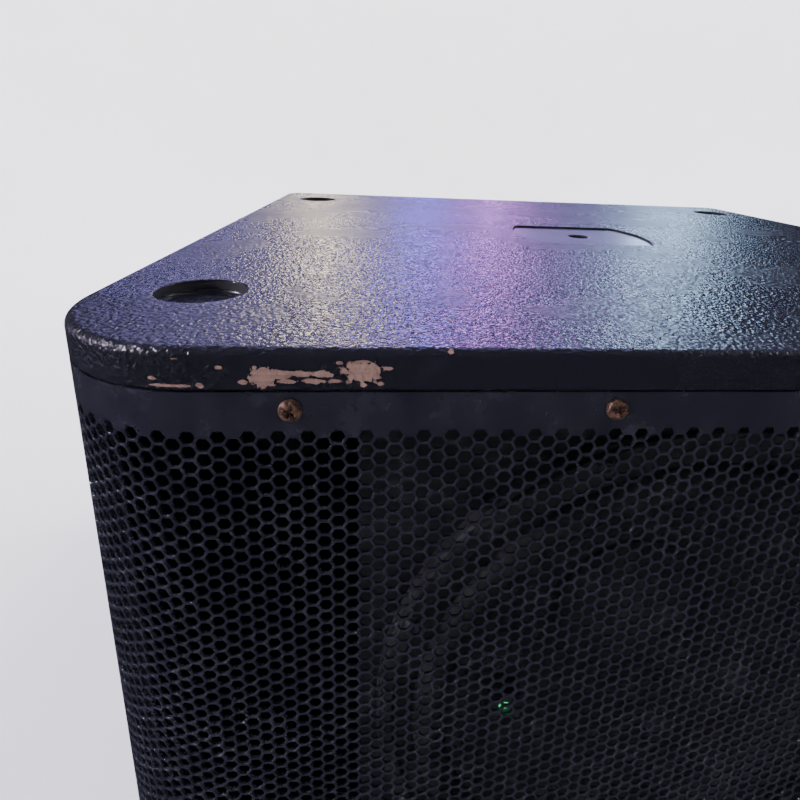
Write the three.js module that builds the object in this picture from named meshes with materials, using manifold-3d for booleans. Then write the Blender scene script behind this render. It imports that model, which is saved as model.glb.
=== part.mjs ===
// Powered subwoofer cabinet of a line array loudspeaker system.
// Millimetres, +Z up, front towards -Y, origin at the centre of the footprint on the ground.

import * as THREE from 'three';
import { mergeVertices } from 'three/addons/utils/BufferGeometryUtils.js';
import Module from 'manifold-3d';

const wasm = await Module();
wasm.setup();

// ---- Driving dimensions -------------------------------------------------------------------

const WIDTH = 690;
const DEPTH = 660; // over the heads of the grille screws
const HEIGHT = 520; // over the feet
const PLY = 18;
const GAP = 0.3;
const FOOT_HEIGHT = 10;
const FRONT_RADIUS = 75;
const REAR_RADIUS = PLY;
const TOP_ROUND = 4;

const SHEET = 1.5;
const GRILLE_SIDE = 15; // how far the grille runs back past each rounded corner
const SCREW_HEAD_RADIUS = 5;
const SCREW_PROUD = 3;
const SCREW_DROP = 27; // grille screws below the top, and above the cabinet's underside
const SCREW_INSETS = [115, 256]; // from each side of the cabinet
const BATTEN = 20;
const GRILLE_LAP = 6; // how deep the sides step in under the grille

const CUP_RADIUS = 23.6;
const CUP_DEPTH = 8;
const CUP_SIDE = 54;
const CUP_END = 86;

const PLATE_HALF_WIDTH = 65;
const PLATE_HALF_DEPTH = 52;
const PLATE_SIDE_RADIUS = 120;
const PLATE_FROM_FRONT = 321;
const PLATE_SUNK = 2;
const PLATE_THICK = 4;
const POLE_BORE = 10; // radius of the M20 threaded hole
const SOCKET_LENGTH = 62;

const BAFFLE_BACK = 54; // front of the baffle behind the front of the grille
const PORT_WIDTH = 122;
const PORT_LENGTH = 268;

const WOOFER_RADIUS = 194;
const CUTOUT_RADIUS = 178;
const CONE_RADIUS = 150;
const SURROUND_RADIUS = 184;
const COIL_RADIUS = 50;
const MAGNET_FRONT = 118; // behind the front of the baffle

const AMP_WIDTH = 320;
const AMP_HEIGHT = 400;
const AMP_WELL = 45;
const AMP_SHEET = 2;
const FLANGE_LAP = 11; // the amplifier's flange past its opening
const FLANGE_SUNK = 1;

// ---- Derived levels -----------------------------------------------------------------------

const HALF = WIDTH / 2;
const FRONT = -DEPTH / 2 + SCREW_PROUD;
const BACK = DEPTH / 2;
const BASE = FOOT_HEIGHT;
const INSIDE_BOTTOM = BASE + PLY + GAP;
const INSIDE_TOP = HEIGHT - PLY - GAP;
const INSIDE_MIDDLE = (INSIDE_BOTTOM + INSIDE_TOP) / 2;
const INSIDE_HALF = HALF - PLY;
const BAFFLE_FRONT = FRONT + BAFFLE_BACK;
const GRILLE_END = FRONT + FRONT_RADIUS + GRILLE_SIDE;
const PORT_INNER = INSIDE_HALF - PORT_WIDTH;
const PLATE_Y = FRONT + PLATE_FROM_FRONT;

const cabinet = new THREE.Group();

// ---- Helpers ------------------------------------------------------------------------------

// A closed indexed copy of a geometry, with shared vertices merged and its faces pointing out.
function closed(geometry) {
  const bare = geometry.clone();
  bare.deleteAttribute('normal');
  bare.deleteAttribute('uv');
  const merged = mergeVertices(bare, 1e-3);
  const place = merged.attributes.position;
  const index = merged.index.array;
  const corner = [new THREE.Vector3(), new THREE.Vector3(), new THREE.Vector3()];
  const kept = [];
  let volume = 0;
  for (let i = 0; i < index.length; i += 3) {
    const [a, b, c] = [index[i], index[i + 1], index[i + 2]];
    if (a === b || b === c || c === a) continue;
    kept.push(a, b, c);
    [a, b, c].forEach((vertex, k) => corner[k].fromBufferAttribute(place, vertex));
    volume += corner[0].dot(corner[1].clone().cross(corner[2]));
  }
  if (volume < 0) {
    for (let i = 0; i < kept.length; i += 3) {
      [kept[i], kept[i + 1]] = [kept[i + 1], kept[i]];
    }
  }
  merged.setIndex(kept);
  return merged;
}

function solid(geometry) {
  const body = closed(geometry);
  return new wasm.Manifold(new wasm.Mesh({
    numProp: 3,
    vertProperties: new Float32Array(body.attributes.position.array),
    triVerts: new Uint32Array(body.index.array),
  }));
}

function geometryOf(manifold) {
  const mesh = manifold.getMesh();
  const geometry = new THREE.BufferGeometry();
  const corners = new Float32Array(mesh.vertProperties);
  geometry.setAttribute('position', new THREE.BufferAttribute(corners, 3));
  geometry.setIndex(Array.from(mesh.triVerts));
  geometry.computeVertexNormals();
  return geometry;
}

// Cuts every tool out of a body.
function carve(body, ...tools) {
  return tools.reduce((rest, tool) => rest.subtract(solid(tool)), solid(body));
}

function join(...bodies) {
  return bodies.map(solid).reduce((whole, body) => whole.add(body));
}

function finish(colour, roughness, metalness = 0) {
  return new THREE.MeshStandardMaterial({ color: colour, roughness, metalness });
}

function add(parent, name, shape, material) {
  const geometry = shape.isBufferGeometry ? closed(shape) : geometryOf(shape);
  const mesh = new THREE.Mesh(geometry, material);
  mesh.name = name;
  parent.add(mesh);
  return mesh;
}

function group(x, y, z) {
  const child = new THREE.Group();
  child.position.set(x, y, z);
  cabinet.add(child);
  return child;
}

function block(x0, x1, y0, y1, z0, z1) {
  const box = new THREE.BoxGeometry(x1 - x0, y1 - y0, z1 - z0);
  return box.translate((x0 + x1) / 2, (y0 + y1) / 2, (z0 + z1) / 2);
}

// A shape drawn in plan (x, y), extruded upwards from z0 to z1.
function upright(shape, z0, z1, curveSegments = 6) {
  const depth = z1 - z0;
  const geometry = new THREE.ExtrudeGeometry(shape, { depth, bevelEnabled: false, curveSegments });
  return geometry.translate(0, 0, z0);
}

function rod(radius, y0, y1, x = 0, z = 0, sides = 24) {
  const geometry = new THREE.CylinderGeometry(radius, radius, y1 - y0, sides);
  return geometry.translate(x, (y0 + y1) / 2, z);
}

function post(radius, z0, z1, x = 0, y = 0, sides = 24) {
  const geometry = new THREE.CylinderGeometry(radius, radius, z1 - z0, sides);
  return geometry.rotateX(Math.PI / 2).translate(x, y, (z0 + z1) / 2);
}

// A closed profile of [radius, y] corners, turned about the Y axis.
function turned(profile, sides = 36) {
  const points = profile.map(([radius, y]) => new THREE.Vector2(radius, y));
  if (profile[0][0] > 0) points.push(points[0].clone());
  return new THREE.LatheGeometry(points, sides);
}

function rectangle(x0, x1, y0, y1, radius = 0) {
  const shape = new THREE.Shape();
  if (radius === 0) {
    shape.moveTo(x0, y0).lineTo(x1, y0).lineTo(x1, y1).lineTo(x0, y1).closePath();
    return shape;
  }
  shape.moveTo(x0 + radius, y0);
  shape.lineTo(x1 - radius, y0);
  shape.absarc(x1 - radius, y0 + radius, radius, -Math.PI / 2, 0, false);
  shape.lineTo(x1, y1 - radius);
  shape.absarc(x1 - radius, y1 - radius, radius, 0, Math.PI / 2, false);
  shape.lineTo(x0 + radius, y1);
  shape.absarc(x0 + radius, y1 - radius, radius, Math.PI / 2, Math.PI, false);
  shape.lineTo(x0, y0 + radius);
  shape.absarc(x0 + radius, y0 + radius, radius, Math.PI, 1.5 * Math.PI, false);
  return shape;
}

// The cabinet's plan: large rounded front corners, small rear ones, drawn in by an inset.
function plan(inset) {
  const front = FRONT_RADIUS - inset;
  const rear = REAR_RADIUS - inset;
  const x = HALF - inset;
  const shape = new THREE.Shape();
  shape.moveTo(-x + front, FRONT + inset);
  shape.lineTo(x - front, FRONT + inset);
  shape.absarc(x - front, FRONT + FRONT_RADIUS, front, -Math.PI / 2, 0, false);
  shape.lineTo(x, BACK - REAR_RADIUS);
  shape.absarc(x - rear, BACK - REAR_RADIUS, rear, 0, Math.PI / 2, false);
  shape.lineTo(-x + rear, BACK - inset);
  shape.absarc(-x + rear, BACK - REAR_RADIUS, rear, Math.PI / 2, Math.PI, false);
  shape.lineTo(-x, FRONT + FRONT_RADIUS);
  shape.absarc(-x + front, FRONT + FRONT_RADIUS, front, Math.PI, 1.5 * Math.PI, false);
  return shape;
}

// A strip that follows the front of the plan round both corners, between two insets.
function frontStrip(outerInset, innerInset, end) {
  const turn = FRONT + FRONT_RADIUS;
  const outer = HALF - outerInset;
  const inner = HALF - innerInset;
  const outerRadius = FRONT_RADIUS - outerInset;
  const innerRadius = FRONT_RADIUS - innerInset;
  const centre = HALF - FRONT_RADIUS;
  const shape = new THREE.Shape();
  shape.moveTo(-outer, end);
  shape.lineTo(-outer, turn);
  shape.absarc(-centre, turn, outerRadius, Math.PI, 1.5 * Math.PI, false);
  shape.lineTo(centre, FRONT + outerInset);
  shape.absarc(centre, turn, outerRadius, -Math.PI / 2, 0, false);
  shape.lineTo(outer, end);
  shape.lineTo(inner, end);
  shape.lineTo(inner, turn);
  shape.absarc(centre, turn, innerRadius, 0, -Math.PI / 2, true);
  shape.lineTo(-centre, FRONT + innerInset);
  shape.absarc(-centre, turn, innerRadius, 1.5 * Math.PI, Math.PI, true);
  shape.lineTo(-inner, end);
  return shape;
}

// The pole plate's outline: straight front and back edges, bulging sides.
function plateOutline(grow) {
  const halfDepth = PLATE_HALF_DEPTH + grow;
  const radius = PLATE_SIDE_RADIUS + grow;
  const centre = PLATE_HALF_WIDTH - PLATE_SIDE_RADIUS;
  const sweep = Math.asin(halfDepth / radius);
  const shape = new THREE.Shape();
  shape.absarc(centre, PLATE_Y, radius, -sweep, sweep, false);
  shape.absarc(-centre, PLATE_Y, radius, Math.PI - sweep, Math.PI + sweep, false);
  return shape;
}

// ---- Materials ----------------------------------------------------------------------------

const texturedPaint = () => finish(0x17171b, 0.42);
const smoothPaint = () => finish(0x131316, 0.6);
const barePly = () => finish(0xb08a5f, 0.8);
const powderCoat = () => finish(0x141418, 0.45, 0.3);
const wornSteel = () => finish(0x8a6a52, 0.45, 0.8);
const blackRubber = () => finish(0x101010, 0.9);
const castFrame = () => finish(0x1c1c1e, 0.5, 0.4);
const paper = () => finish(0x121214, 0.85);
const bareSteel = () => finish(0x8f9296, 0.35, 0.9);
const ferrite = () => finish(0x2a2a2c, 0.7, 0.1);
const copper = () => finish(0xb36b3e, 0.35, 0.9);
const cloth = () => finish(0x8c6b2f, 0.9);
const blackPlastic = () => finish(0x151516, 0.5);
const circuitBoard = () => finish(0x1f5a34, 0.5);
const anodised = () => finish(0x1b1c1f, 0.4, 0.8);
const greenLens = () => finish(0x35ff6a, 0.2);

// ---- Cabinet ------------------------------------------------------------------------------

const cupCentres = [];
for (const sideways of [-1, 1]) {
  for (const y of [FRONT + CUP_END, BACK - CUP_END]) {
    cupCentres.push([sideways * (HALF - CUP_SIDE), y]);
  }
}

// The top: rounded upper edge, four foot cups, a pocket for the pole plate and its socket hole.
function topPanel() {
  const slab = new THREE.ExtrudeGeometry(plan(TOP_ROUND), {
    depth: PLY,
    bevelEnabled: true,
    bevelSize: TOP_ROUND,
    bevelThickness: TOP_ROUND,
    bevelSegments: 2,
    curveSegments: 6,
  });
  slab.translate(0, 0, HEIGHT - PLY - TOP_ROUND);
  const below = block(-WIDTH, WIDTH, -DEPTH, DEPTH, HEIGHT - 3 * PLY, HEIGHT - PLY);
  const cups = cupCentres.map(([x, y]) => post(CUP_RADIUS, HEIGHT - CUP_DEPTH, HEIGHT + PLY, x, y));
  const pocket = upright(plateOutline(GAP), HEIGHT - PLATE_SUNK - PLATE_THICK - GAP, HEIGHT + PLY);
  const bore = post(2 * POLE_BORE, HEIGHT - 2 * PLY, HEIGHT, 0, PLATE_Y);
  return carve(slab, below, ...cups, pocket, bore);
}

add(cabinet, 'top_panel', topPanel(), texturedPaint());
add(cabinet, 'bottom_panel', upright(plan(0), BASE, BASE + PLY), texturedPaint());

// One side, in plan: rounded at the back, stepped in at the front where the grille laps it.
function sidePanel(sideways) {
  const outer = sideways * HALF;
  const inner = sideways * INSIDE_HALF;
  const lap = outer - sideways * GRILLE_LAP;
  const isRight = sideways > 0;
  const shape = new THREE.Shape();
  shape.moveTo(inner, BACK);
  shape.absarc(inner, BACK - REAR_RADIUS, REAR_RADIUS, Math.PI / 2, isRight ? 0 : Math.PI, isRight);
  shape.lineTo(outer, GRILLE_END + GAP);
  shape.lineTo(lap, GRILLE_END + GAP);
  shape.lineTo(lap, BAFFLE_FRONT);
  shape.lineTo(inner, BAFFLE_FRONT);
  return upright(shape, INSIDE_BOTTOM, INSIDE_TOP, 4);
}

// Side handles: a moulded dish in each side, behind the port, with a round grip across it.
const HANDLE = {
  y: 125,
  z: 300,
  halfLength: 105,
  halfHeight: 60,
  corner: 16,
  depth: 68,
  lip: 3,
  wall: 2.5,
  rim: 12,
};
const GRIP_RADIUS = 11;
const GRIP_SUNK = 16; // grip's axis below the face of the side

function handleOutline(grow) {
  const { y, z, halfLength, halfHeight, corner } = HANDLE;
  const [dy, dz] = [halfLength + grow, halfHeight + grow];
  return rectangle(y - dy, y + dy, z - dz, z + dz, corner + grow);
}

// A shape drawn in side view (y, z), extruded along x between two depths in from one side.
function fromSide(sideways, shape, depth0, depth1) {
  const ends = [sideways * (HALF - depth0), sideways * (HALF - depth1)];
  const depth = Math.abs(ends[1] - ends[0]);
  const geometry = new THREE.ExtrudeGeometry(shape, { depth, bevelEnabled: false, curveSegments: 3 });
  geometry.rotateX(Math.PI / 2).rotateZ(Math.PI / 2);
  return geometry.translate(Math.min(...ends), 0, 0);
}

for (const [side, sideways] of [['left', -1], ['right', 1]]) {
  const { y, z, halfLength, depth, lip, wall, rim } = HANDLE;
  const rebate = fromSide(sideways, handleOutline(rim + GAP), -PLY, lip + GAP);
  const hole = fromSide(sideways, handleOutline(GAP), -PLY, 2 * PLY);
  add(cabinet, `${side}_side_panel`, carve(sidePanel(sideways), rebate, hole), texturedPaint());
  const flange = fromSide(sideways, handleOutline(rim), 0, lip);
  const shell = fromSide(sideways, handleOutline(0), lip / 2, depth);
  const well = fromSide(sideways, handleOutline(-wall), -lip, depth - wall);
  add(cabinet, `${side}_handle_dish`, join(flange, shell).subtract(solid(well)), blackPlastic());
  const reach = halfLength - wall - GAP;
  const grip = rod(GRIP_RADIUS, y - reach, y + reach, sideways * (HALF - GRIP_SUNK), z, 20);
  add(cabinet, `${side}_handle_grip`, grip, blackRubber());
}

// The back: a rebated opening for the amplifier.
function rearPanel() {
  const width = INSIDE_HALF - GAP;
  const slab = block(-width, width, BACK - PLY, BACK, INSIDE_BOTTOM, INSIDE_TOP);
  const [w, h, m] = [AMP_WIDTH / 2, AMP_HEIGHT / 2, INSIDE_MIDDLE];
  const lap = FLANGE_LAP + 1;
  const pocketFloor = BACK - FLANGE_SUNK - AMP_SHEET - GAP;
  const flangePocket = block(-w - lap, w + lap, pocketFloor, BACK + PLY, m - h - lap, m + h + lap);
  const opening = block(-w, w, BACK - 2 * PLY, BACK + PLY, m - h, m + h);
  return carve(slab, flangePocket, opening);
}

add(cabinet, 'rear_panel', rearPanel(), texturedPaint());

// The baffle, with a port open on each side of it, and a wall behind each edge for its port.
const baffleSlab = block(
  -PORT_INNER, PORT_INNER, BAFFLE_FRONT, BAFFLE_FRONT + PLY, INSIDE_BOTTOM, INSIDE_TOP,
);
const cutout = rod(CUTOUT_RADIUS, BAFFLE_FRONT - PLY, BAFFLE_FRONT + 2 * PLY, 0, INSIDE_MIDDLE, 36);
add(cabinet, 'baffle', carve(baffleSlab, cutout), smoothPaint());

const PORT_START = BAFFLE_FRONT + PLY + GAP;
for (const [side, sideways] of [['left', -1], ['right', 1]]) {
  const faces = [sideways * PORT_INNER, sideways * (PORT_INNER - PLY)];
  const wall = block(
    Math.min(...faces), Math.max(...faces),
    PORT_START, PORT_START + PORT_LENGTH,
    INSIDE_BOTTOM, INSIDE_TOP,
  );
  add(cabinet, `${side}_port_wall`, wall, smoothPaint());
}

// A shelf that ties the two port walls together behind the magnet.
const BRACE_HALF = PORT_INNER - PLY - GAP;
const BRACE_DEPTH = 88;
const braceEnd = PORT_START + PORT_LENGTH;
const brace = block(
  -BRACE_HALF, BRACE_HALF,
  braceEnd - BRACE_DEPTH, braceEnd,
  INSIDE_MIDDLE - PLY / 2, INSIDE_MIDDLE + PLY / 2,
);
add(cabinet, 'port_brace', brace, barePly());

// Battens that the grille screws bite into, top and bottom.
function batten(z0, z1) {
  const strip = upright(frontStrip(SHEET + GAP, BATTEN, GRILLE_END), z0, z1, 4);
  const behind = block(-WIDTH, WIDTH, BAFFLE_FRONT - GAP, BACK, z0 - PLY, z1 + PLY);
  return carve(strip, behind);
}

add(cabinet, 'top_grille_batten', batten(INSIDE_TOP - BATTEN, INSIDE_TOP), smoothPaint());
add(cabinet, 'bottom_grille_batten', batten(INSIDE_BOTTOM, INSIDE_BOTTOM + BATTEN), smoothPaint());

for (const [x, y] of cupCentres) {
  const name = `${y < 0 ? 'front' : 'rear'}_${x < 0 ? 'left' : 'right'}_foot`;
  const foot = new THREE.CylinderGeometry(CUP_RADIUS - 2.5, CUP_RADIUS - 4, FOOT_HEIGHT - GAP, 24);
  foot.rotateX(Math.PI / 2).translate(x, y, (FOOT_HEIGHT - GAP) / 2);
  add(cabinet, name, foot, blackRubber());
}

// ---- Pole mount ---------------------------------------------------------------------------

const plateTop = HEIGHT - PLATE_SUNK;
const plate = upright(plateOutline(0), plateTop - PLATE_THICK, plateTop);
const threadHole = post(POLE_BORE, plateTop - 2 * PLATE_THICK, HEIGHT, 0, PLATE_Y);
add(cabinet, 'pole_plate', carve(plate, threadHole), anodised());

const socketTop = plateTop - PLATE_THICK - GAP;
const socketTube = post(2 * POLE_BORE - 2, socketTop - SOCKET_LENGTH, socketTop, 0, PLATE_Y);
const socketBore = post(POLE_BORE, socketTop - SOCKET_LENGTH + 6, HEIGHT, 0, PLATE_Y);
add(cabinet, 'pole_socket', carve(socketTube, socketBore), bareSteel());

// ---- Grille -------------------------------------------------------------------------------

const SEAM = 1; // between the grille and the panels above and below it
const grilleBottom = BASE + PLY + SEAM;
const grilleTop = HEIGHT - PLY - SEAM;
const grilleShape = frontStrip(0, SHEET, GRILLE_END);
add(cabinet, 'grille', upright(grilleShape, grilleBottom, grilleTop), powderCoat());

// A pan head: flat underside on the sheet, domed front.
function panHead() {
  const r = SCREW_HEAD_RADIUS;
  return turned([
    [0, -GAP], [r, -GAP], [r, -1.4], [0.72 * r, -2.6], [0.3 * r, -SCREW_PROUD], [0, -SCREW_PROUD],
  ], 16);
}

const screwColumns = SCREW_INSETS.flatMap((inset) => [-HALF + inset, HALF - inset]);
screwColumns.sort((a, b) => a - b);
screwColumns.forEach((x, column) => {
  for (const [row, z] of [['top', HEIGHT - SCREW_DROP], ['bottom', BASE + SCREW_DROP]]) {
    const place = group(x, FRONT, z);
    add(place, `grille_screw_${row}_${column + 1}`, panHead(), wornSteel());
  }
});

// Power light behind the grille, in a small holder stuck to the sheet.
const LIGHT = { x: -HALF + 219, z: HEIGHT - 202, lens: 3, reach: 8 };
const light = group(LIGHT.x, FRONT + SHEET + GAP, LIGHT.z);
const holder = carve(block(-9, 9, 0, 14, -7, 7), rod(LIGHT.lens + GAP, -1, LIGHT.reach));
add(light, 'power_light_holder', holder, blackPlastic());
const lens = rod(LIGHT.lens, 0.5, LIGHT.reach - GAP, 0, 0, 16);
add(light, 'power_light_lens', lens, greenLens());

// ---- Woofer -------------------------------------------------------------------------------

// Profiles are [radius, depth behind the front of the baffle].
const woofer = group(0, BAFFLE_FRONT, INSIDE_MIDDLE);
const FLANGE = 10;
const LEDGE = 99; // the spider's seat
const CONE_NECK = 70;
const MAGNET_RADIUS = 105;

// Cast basket: flange on the baffle, tapering back to the magnet, with six windows.
function basket() {
  const outer = [
    [WOOFER_RADIUS, -GAP - FLANGE], [WOOFER_RADIUS, -GAP], [CUTOUT_RADIUS - 1, -GAP],
    [CUTOUT_RADIUS - 6, 28], [114, MAGNET_FRONT - 10], [114, MAGNET_FRONT - GAP],
    [62, MAGNET_FRONT - GAP], [62, MAGNET_FRONT - 7], [98, MAGNET_FRONT - 7], [98, LEDGE],
    [110, LEDGE], [CUTOUT_RADIUS - 11, 24], [CUTOUT_RADIUS - 6, -GAP - FLANGE],
  ];
  const windows = [];
  for (let i = 0; i < 6; i += 1) {
    const window = block(-42, 42, 40, 92, 90, WOOFER_RADIUS);
    windows.push(window.rotateY((i + 0.5) * Math.PI / 3));
  }
  return carve(turned(outer), ...windows);
}

// Half-roll surround from the cone's rim to the flange.
function surround() {
  const thick = 1.2;
  const inner = CONE_RADIUS + 2;
  const outer = CUTOUT_RADIUS - 6;
  const middle = (inner + outer) / 2;
  const steps = 5;
  const flat = -FLANGE - 2 * GAP;
  const arc = (radius) => Array.from({ length: steps + 1 }, (unused, i) => {
    const angle = Math.PI * i / steps;
    return [middle - radius * Math.cos(angle), flat - thick - radius * Math.sin(angle)];
  });
  const over = arc(middle - inner);
  const under = arc(middle - inner - thick).reverse();
  under[0][1] = flat;
  under[steps][1] = flat;
  return turned([
    [CONE_RADIUS - 6, flat], [CONE_RADIUS - 6, flat - thick], ...over,
    [SURROUND_RADIUS - GAP, flat - thick], [SURROUND_RADIUS - GAP, flat], ...under,
  ]);
}

// Corrugated ring that centres the voice coil.
function spider() {
  const inner = COIL_RADIUS + 1;
  const outer = 108;
  const waves = 3;
  const swing = 2;
  const thick = 1;
  const pitch = (outer - inner) / (2 * waves + 1);
  const ridge = Array.from({ length: 2 * waves + 2 }, (unused, i) => {
    const isEnd = i === 0 || i === 2 * waves + 1;
    return [inner + i * pitch, LEDGE - GAP - thick - swing + (isEnd || i % 2 ? swing : -swing / 2)];
  });
  const back = ridge.map(([radius, y]) => [radius, y + thick]).reverse();
  return turned([...ridge, ...back], 30);
}

// Domed cap over the voice coil, seated on the cone.
function dustCap() {
  const rim = 61;
  const seat = 57;
  const rise = 22;
  const sphere = (rim * rim + rise * rise) / (2 * rise);
  const front = [];
  const back = [];
  const steps = 4;
  for (let i = 0; i <= steps; i += 1) {
    const radius = rim * i / steps;
    const y = seat - rise + sphere - Math.sqrt(sphere * sphere - radius * radius);
    front.push([radius, y - 1.2]);
    back.unshift([radius, y]);
  }
  return turned([...front, ...back], 30);
}

add(woofer, 'woofer_basket', basket(), castFrame());
add(woofer, 'woofer_gasket', turned([
  [WOOFER_RADIUS - 1, -FLANGE - 5], [WOOFER_RADIUS - 1, -FLANGE - 2 * GAP],
  [SURROUND_RADIUS, -FLANGE - 2 * GAP], [SURROUND_RADIUS, -FLANGE - 5],
]), blackRubber());
add(woofer, 'surround', surround(), blackRubber());
add(woofer, 'spider', spider(), cloth());
add(woofer, 'cone', turned([
  [CONE_RADIUS, -FLANGE], [CONE_RADIUS, -FLANGE + 3], [COIL_RADIUS + 4, CONE_NECK],
  [COIL_RADIUS + 1, CONE_NECK], [COIL_RADIUS + 1, CONE_NECK - 4],
]), paper());
add(woofer, 'dust_cap', dustCap(), paper());
add(woofer, 'voice_coil', turned([
  [COIL_RADIUS - 0.4, CONE_NECK - 10], [COIL_RADIUS + 0.6, CONE_NECK - 10],
  [COIL_RADIUS + 0.6, MAGNET_FRONT - 7], [COIL_RADIUS + 1.4, MAGNET_FRONT - 7],
  [COIL_RADIUS + 1.4, MAGNET_FRONT + 17], [COIL_RADIUS - 0.4, MAGNET_FRONT + 17],
]), copper());
add(woofer, 'magnet_top_plate', turned([
  [COIL_RADIUS + 2.6, MAGNET_FRONT], [MAGNET_RADIUS, MAGNET_FRONT],
  [MAGNET_RADIUS, MAGNET_FRONT + 10], [COIL_RADIUS + 2.6, MAGNET_FRONT + 10],
]), bareSteel());
add(woofer, 'magnet_ring', turned([
  [60, MAGNET_FRONT + 10 + GAP], [MAGNET_RADIUS + 5, MAGNET_FRONT + 10 + GAP],
  [MAGNET_RADIUS + 5, MAGNET_FRONT + 34], [60, MAGNET_FRONT + 34],
]), ferrite());
add(woofer, 'magnet_yoke', turned([
  [8, MAGNET_FRONT], [COIL_RADIUS - 1.8, MAGNET_FRONT], [COIL_RADIUS - 1.8, MAGNET_FRONT + 34 + GAP],
  [MAGNET_RADIUS, MAGNET_FRONT + 34 + GAP], [MAGNET_RADIUS, MAGNET_FRONT + 43],
  [MAGNET_RADIUS - 4, MAGNET_FRONT + 46], [8, MAGNET_FRONT + 46],
]), bareSteel());
const TERMINAL = { y: 94, z: 134, halfWidth: 14, halfDepth: 6, halfHeight: 5 };
const terminals = block(
  -TERMINAL.halfWidth, TERMINAL.halfWidth,
  TERMINAL.y - TERMINAL.halfDepth, TERMINAL.y + TERMINAL.halfDepth,
  TERMINAL.z - TERMINAL.halfHeight, TERMINAL.z + TERMINAL.halfHeight,
);
add(woofer, 'woofer_terminals', terminals, blackPlastic());

// ---- Amplifier ----------------------------------------------------------------------------

// Local to the centre of the opening, flush with the back: -y goes into the cabinet.
const amp = group(0, BACK, INSIDE_MIDDLE);
const FLOOR = -AMP_WELL;
const TRAY_HALF_WIDTH = AMP_WIDTH / 2 - GAP;
const TRAY_HALF_HEIGHT = AMP_HEIGHT / 2 - GAP;

// Controls and sockets, by place on the floor of the tray.
const INPUT = { x: -50, z: 150 };
const LINK = { x: -110, z: 150 };
const LEVEL = { x: -50, z: 80 };
const CROSSOVER = { x: -110, z: 80 };
const POLARITY = { x: -80, z: 35 };
const SWITCH = { x: -50, z: -70 };
const INLET = { x: -80, z: -140 };
const LATCH = { x: INPUT.x, z: INPUT.z + 12.5 };
const LATCH_HALF = [4, 1.6];
const SOCKET_RADIUS = 11.7;
const SOCKET_REACH = 20; // of sockets behind the tray's floor
const SHAFT_RADIUS = 3;
const BUTTON_RADIUS = 4;
const ROCKER = { halfWidth: 6.5, halfHeight: 10 };
const INLET_HALF = [13.5, 10];

function framed(place, halfWidth, halfHeight, y0, y1) {
  const { x, z } = place;
  return block(x - halfWidth, x + halfWidth, y0, y1, z - halfHeight, z + halfHeight);
}

// Room for the input socket's push latch, through its flange and the tray's floor.
function latchSlot() {
  return framed(LATCH, LATCH_HALF[0] + GAP, LATCH_HALF[1] + GAP, FLOOR - 9, FLOOR + PLY);
}

// A shallow tray with a flange, pierced for everything that passes through its floor.
function ampTray() {
  const [w, h] = [TRAY_HALF_WIDTH, TRAY_HALF_HEIGHT];
  const [flangeWidth, flangeHeight] = [w + FLANGE_LAP, h + FLANGE_LAP];
  const flange = block(
    -flangeWidth, flangeWidth, -FLANGE_SUNK - AMP_SHEET, -FLANGE_SUNK, -flangeHeight, flangeHeight,
  );
  const pan = block(-w, w, FLOOR - AMP_SHEET, -FLANGE_SUNK, -h, h);
  const well = block(-w + AMP_SHEET, w - AMP_SHEET, FLOOR, PLY, -h + AMP_SHEET, h - AMP_SHEET);
  const through = [FLOOR - PLY, FLOOR + PLY];
  const holes = [
    ...[INPUT, LINK].map(({ x, z }) => rod(SOCKET_RADIUS + GAP, ...through, x, z, 24)),
    latchSlot(),
    ...[LEVEL, CROSSOVER].map(({ x, z }) => rod(SHAFT_RADIUS + GAP, ...through, x, z, 16)),
    rod(BUTTON_RADIUS + GAP, ...through, POLARITY.x, POLARITY.z, 16),
    framed(SWITCH, ROCKER.halfWidth + 2 + GAP, ROCKER.halfHeight + 2 + GAP, ...through),
    framed(INLET, INLET_HALF[0] + GAP, INLET_HALF[1] + GAP, ...through),
  ];
  const tray = join(flange, pan).subtract(solid(well));
  return holes.reduce((rest, hole) => rest.subtract(solid(hole)), tray);
}

add(amp, 'amp_tray', ampTray(), anodised());

// A box over the electronics, smaller than the tray all round.
const COVER_BACK = -130;
const COVER_INSET = 12;
function coverBlock(inset, y0, y1) {
  const [w, h] = [TRAY_HALF_WIDTH - inset, TRAY_HALF_HEIGHT - inset];
  return block(-w, w, y0, y1, -h, h);
}
const coverOuter = coverBlock(COVER_INSET, COVER_BACK, FLOOR - AMP_SHEET - GAP);
const coverInner = coverBlock(COVER_INSET + AMP_SHEET, COVER_BACK + AMP_SHEET, 0);
const LEAD_EXIT = { x: 0, z: 120 };
const LEAD_RADIUS = 4;
const leadHole = rod(
  LEAD_RADIUS + 1, COVER_BACK - PLY, COVER_BACK + PLY, LEAD_EXIT.x, LEAD_EXIT.z, 12,
);
add(amp, 'amp_cover', carve(coverOuter, coverInner, leadHole), bareSteel());

// Finned heatsink, drawn in plan as a comb.
function heatsink() {
  const [x0, x1] = [15, 145];
  const base = FLOOR + GAP;
  const root = base + 4;
  const tip = -8;
  const fins = 9;
  const thick = 2.5;
  const pitch = (x1 - x0 - thick) / (fins - 1);
  const shape = new THREE.Shape();
  shape.moveTo(x0, base);
  shape.lineTo(x1, base);
  for (let i = fins - 1; i >= 0; i -= 1) {
    const left = x0 + i * pitch;
    shape.lineTo(left + thick, i === fins - 1 ? base : root);
    shape.lineTo(left + thick, tip);
    shape.lineTo(left, tip);
    if (i > 0) shape.lineTo(left, root);
  }
  shape.closePath();
  return upright(shape, -165, 165);
}

add(amp, 'heatsink', heatsink(), anodised());

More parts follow.
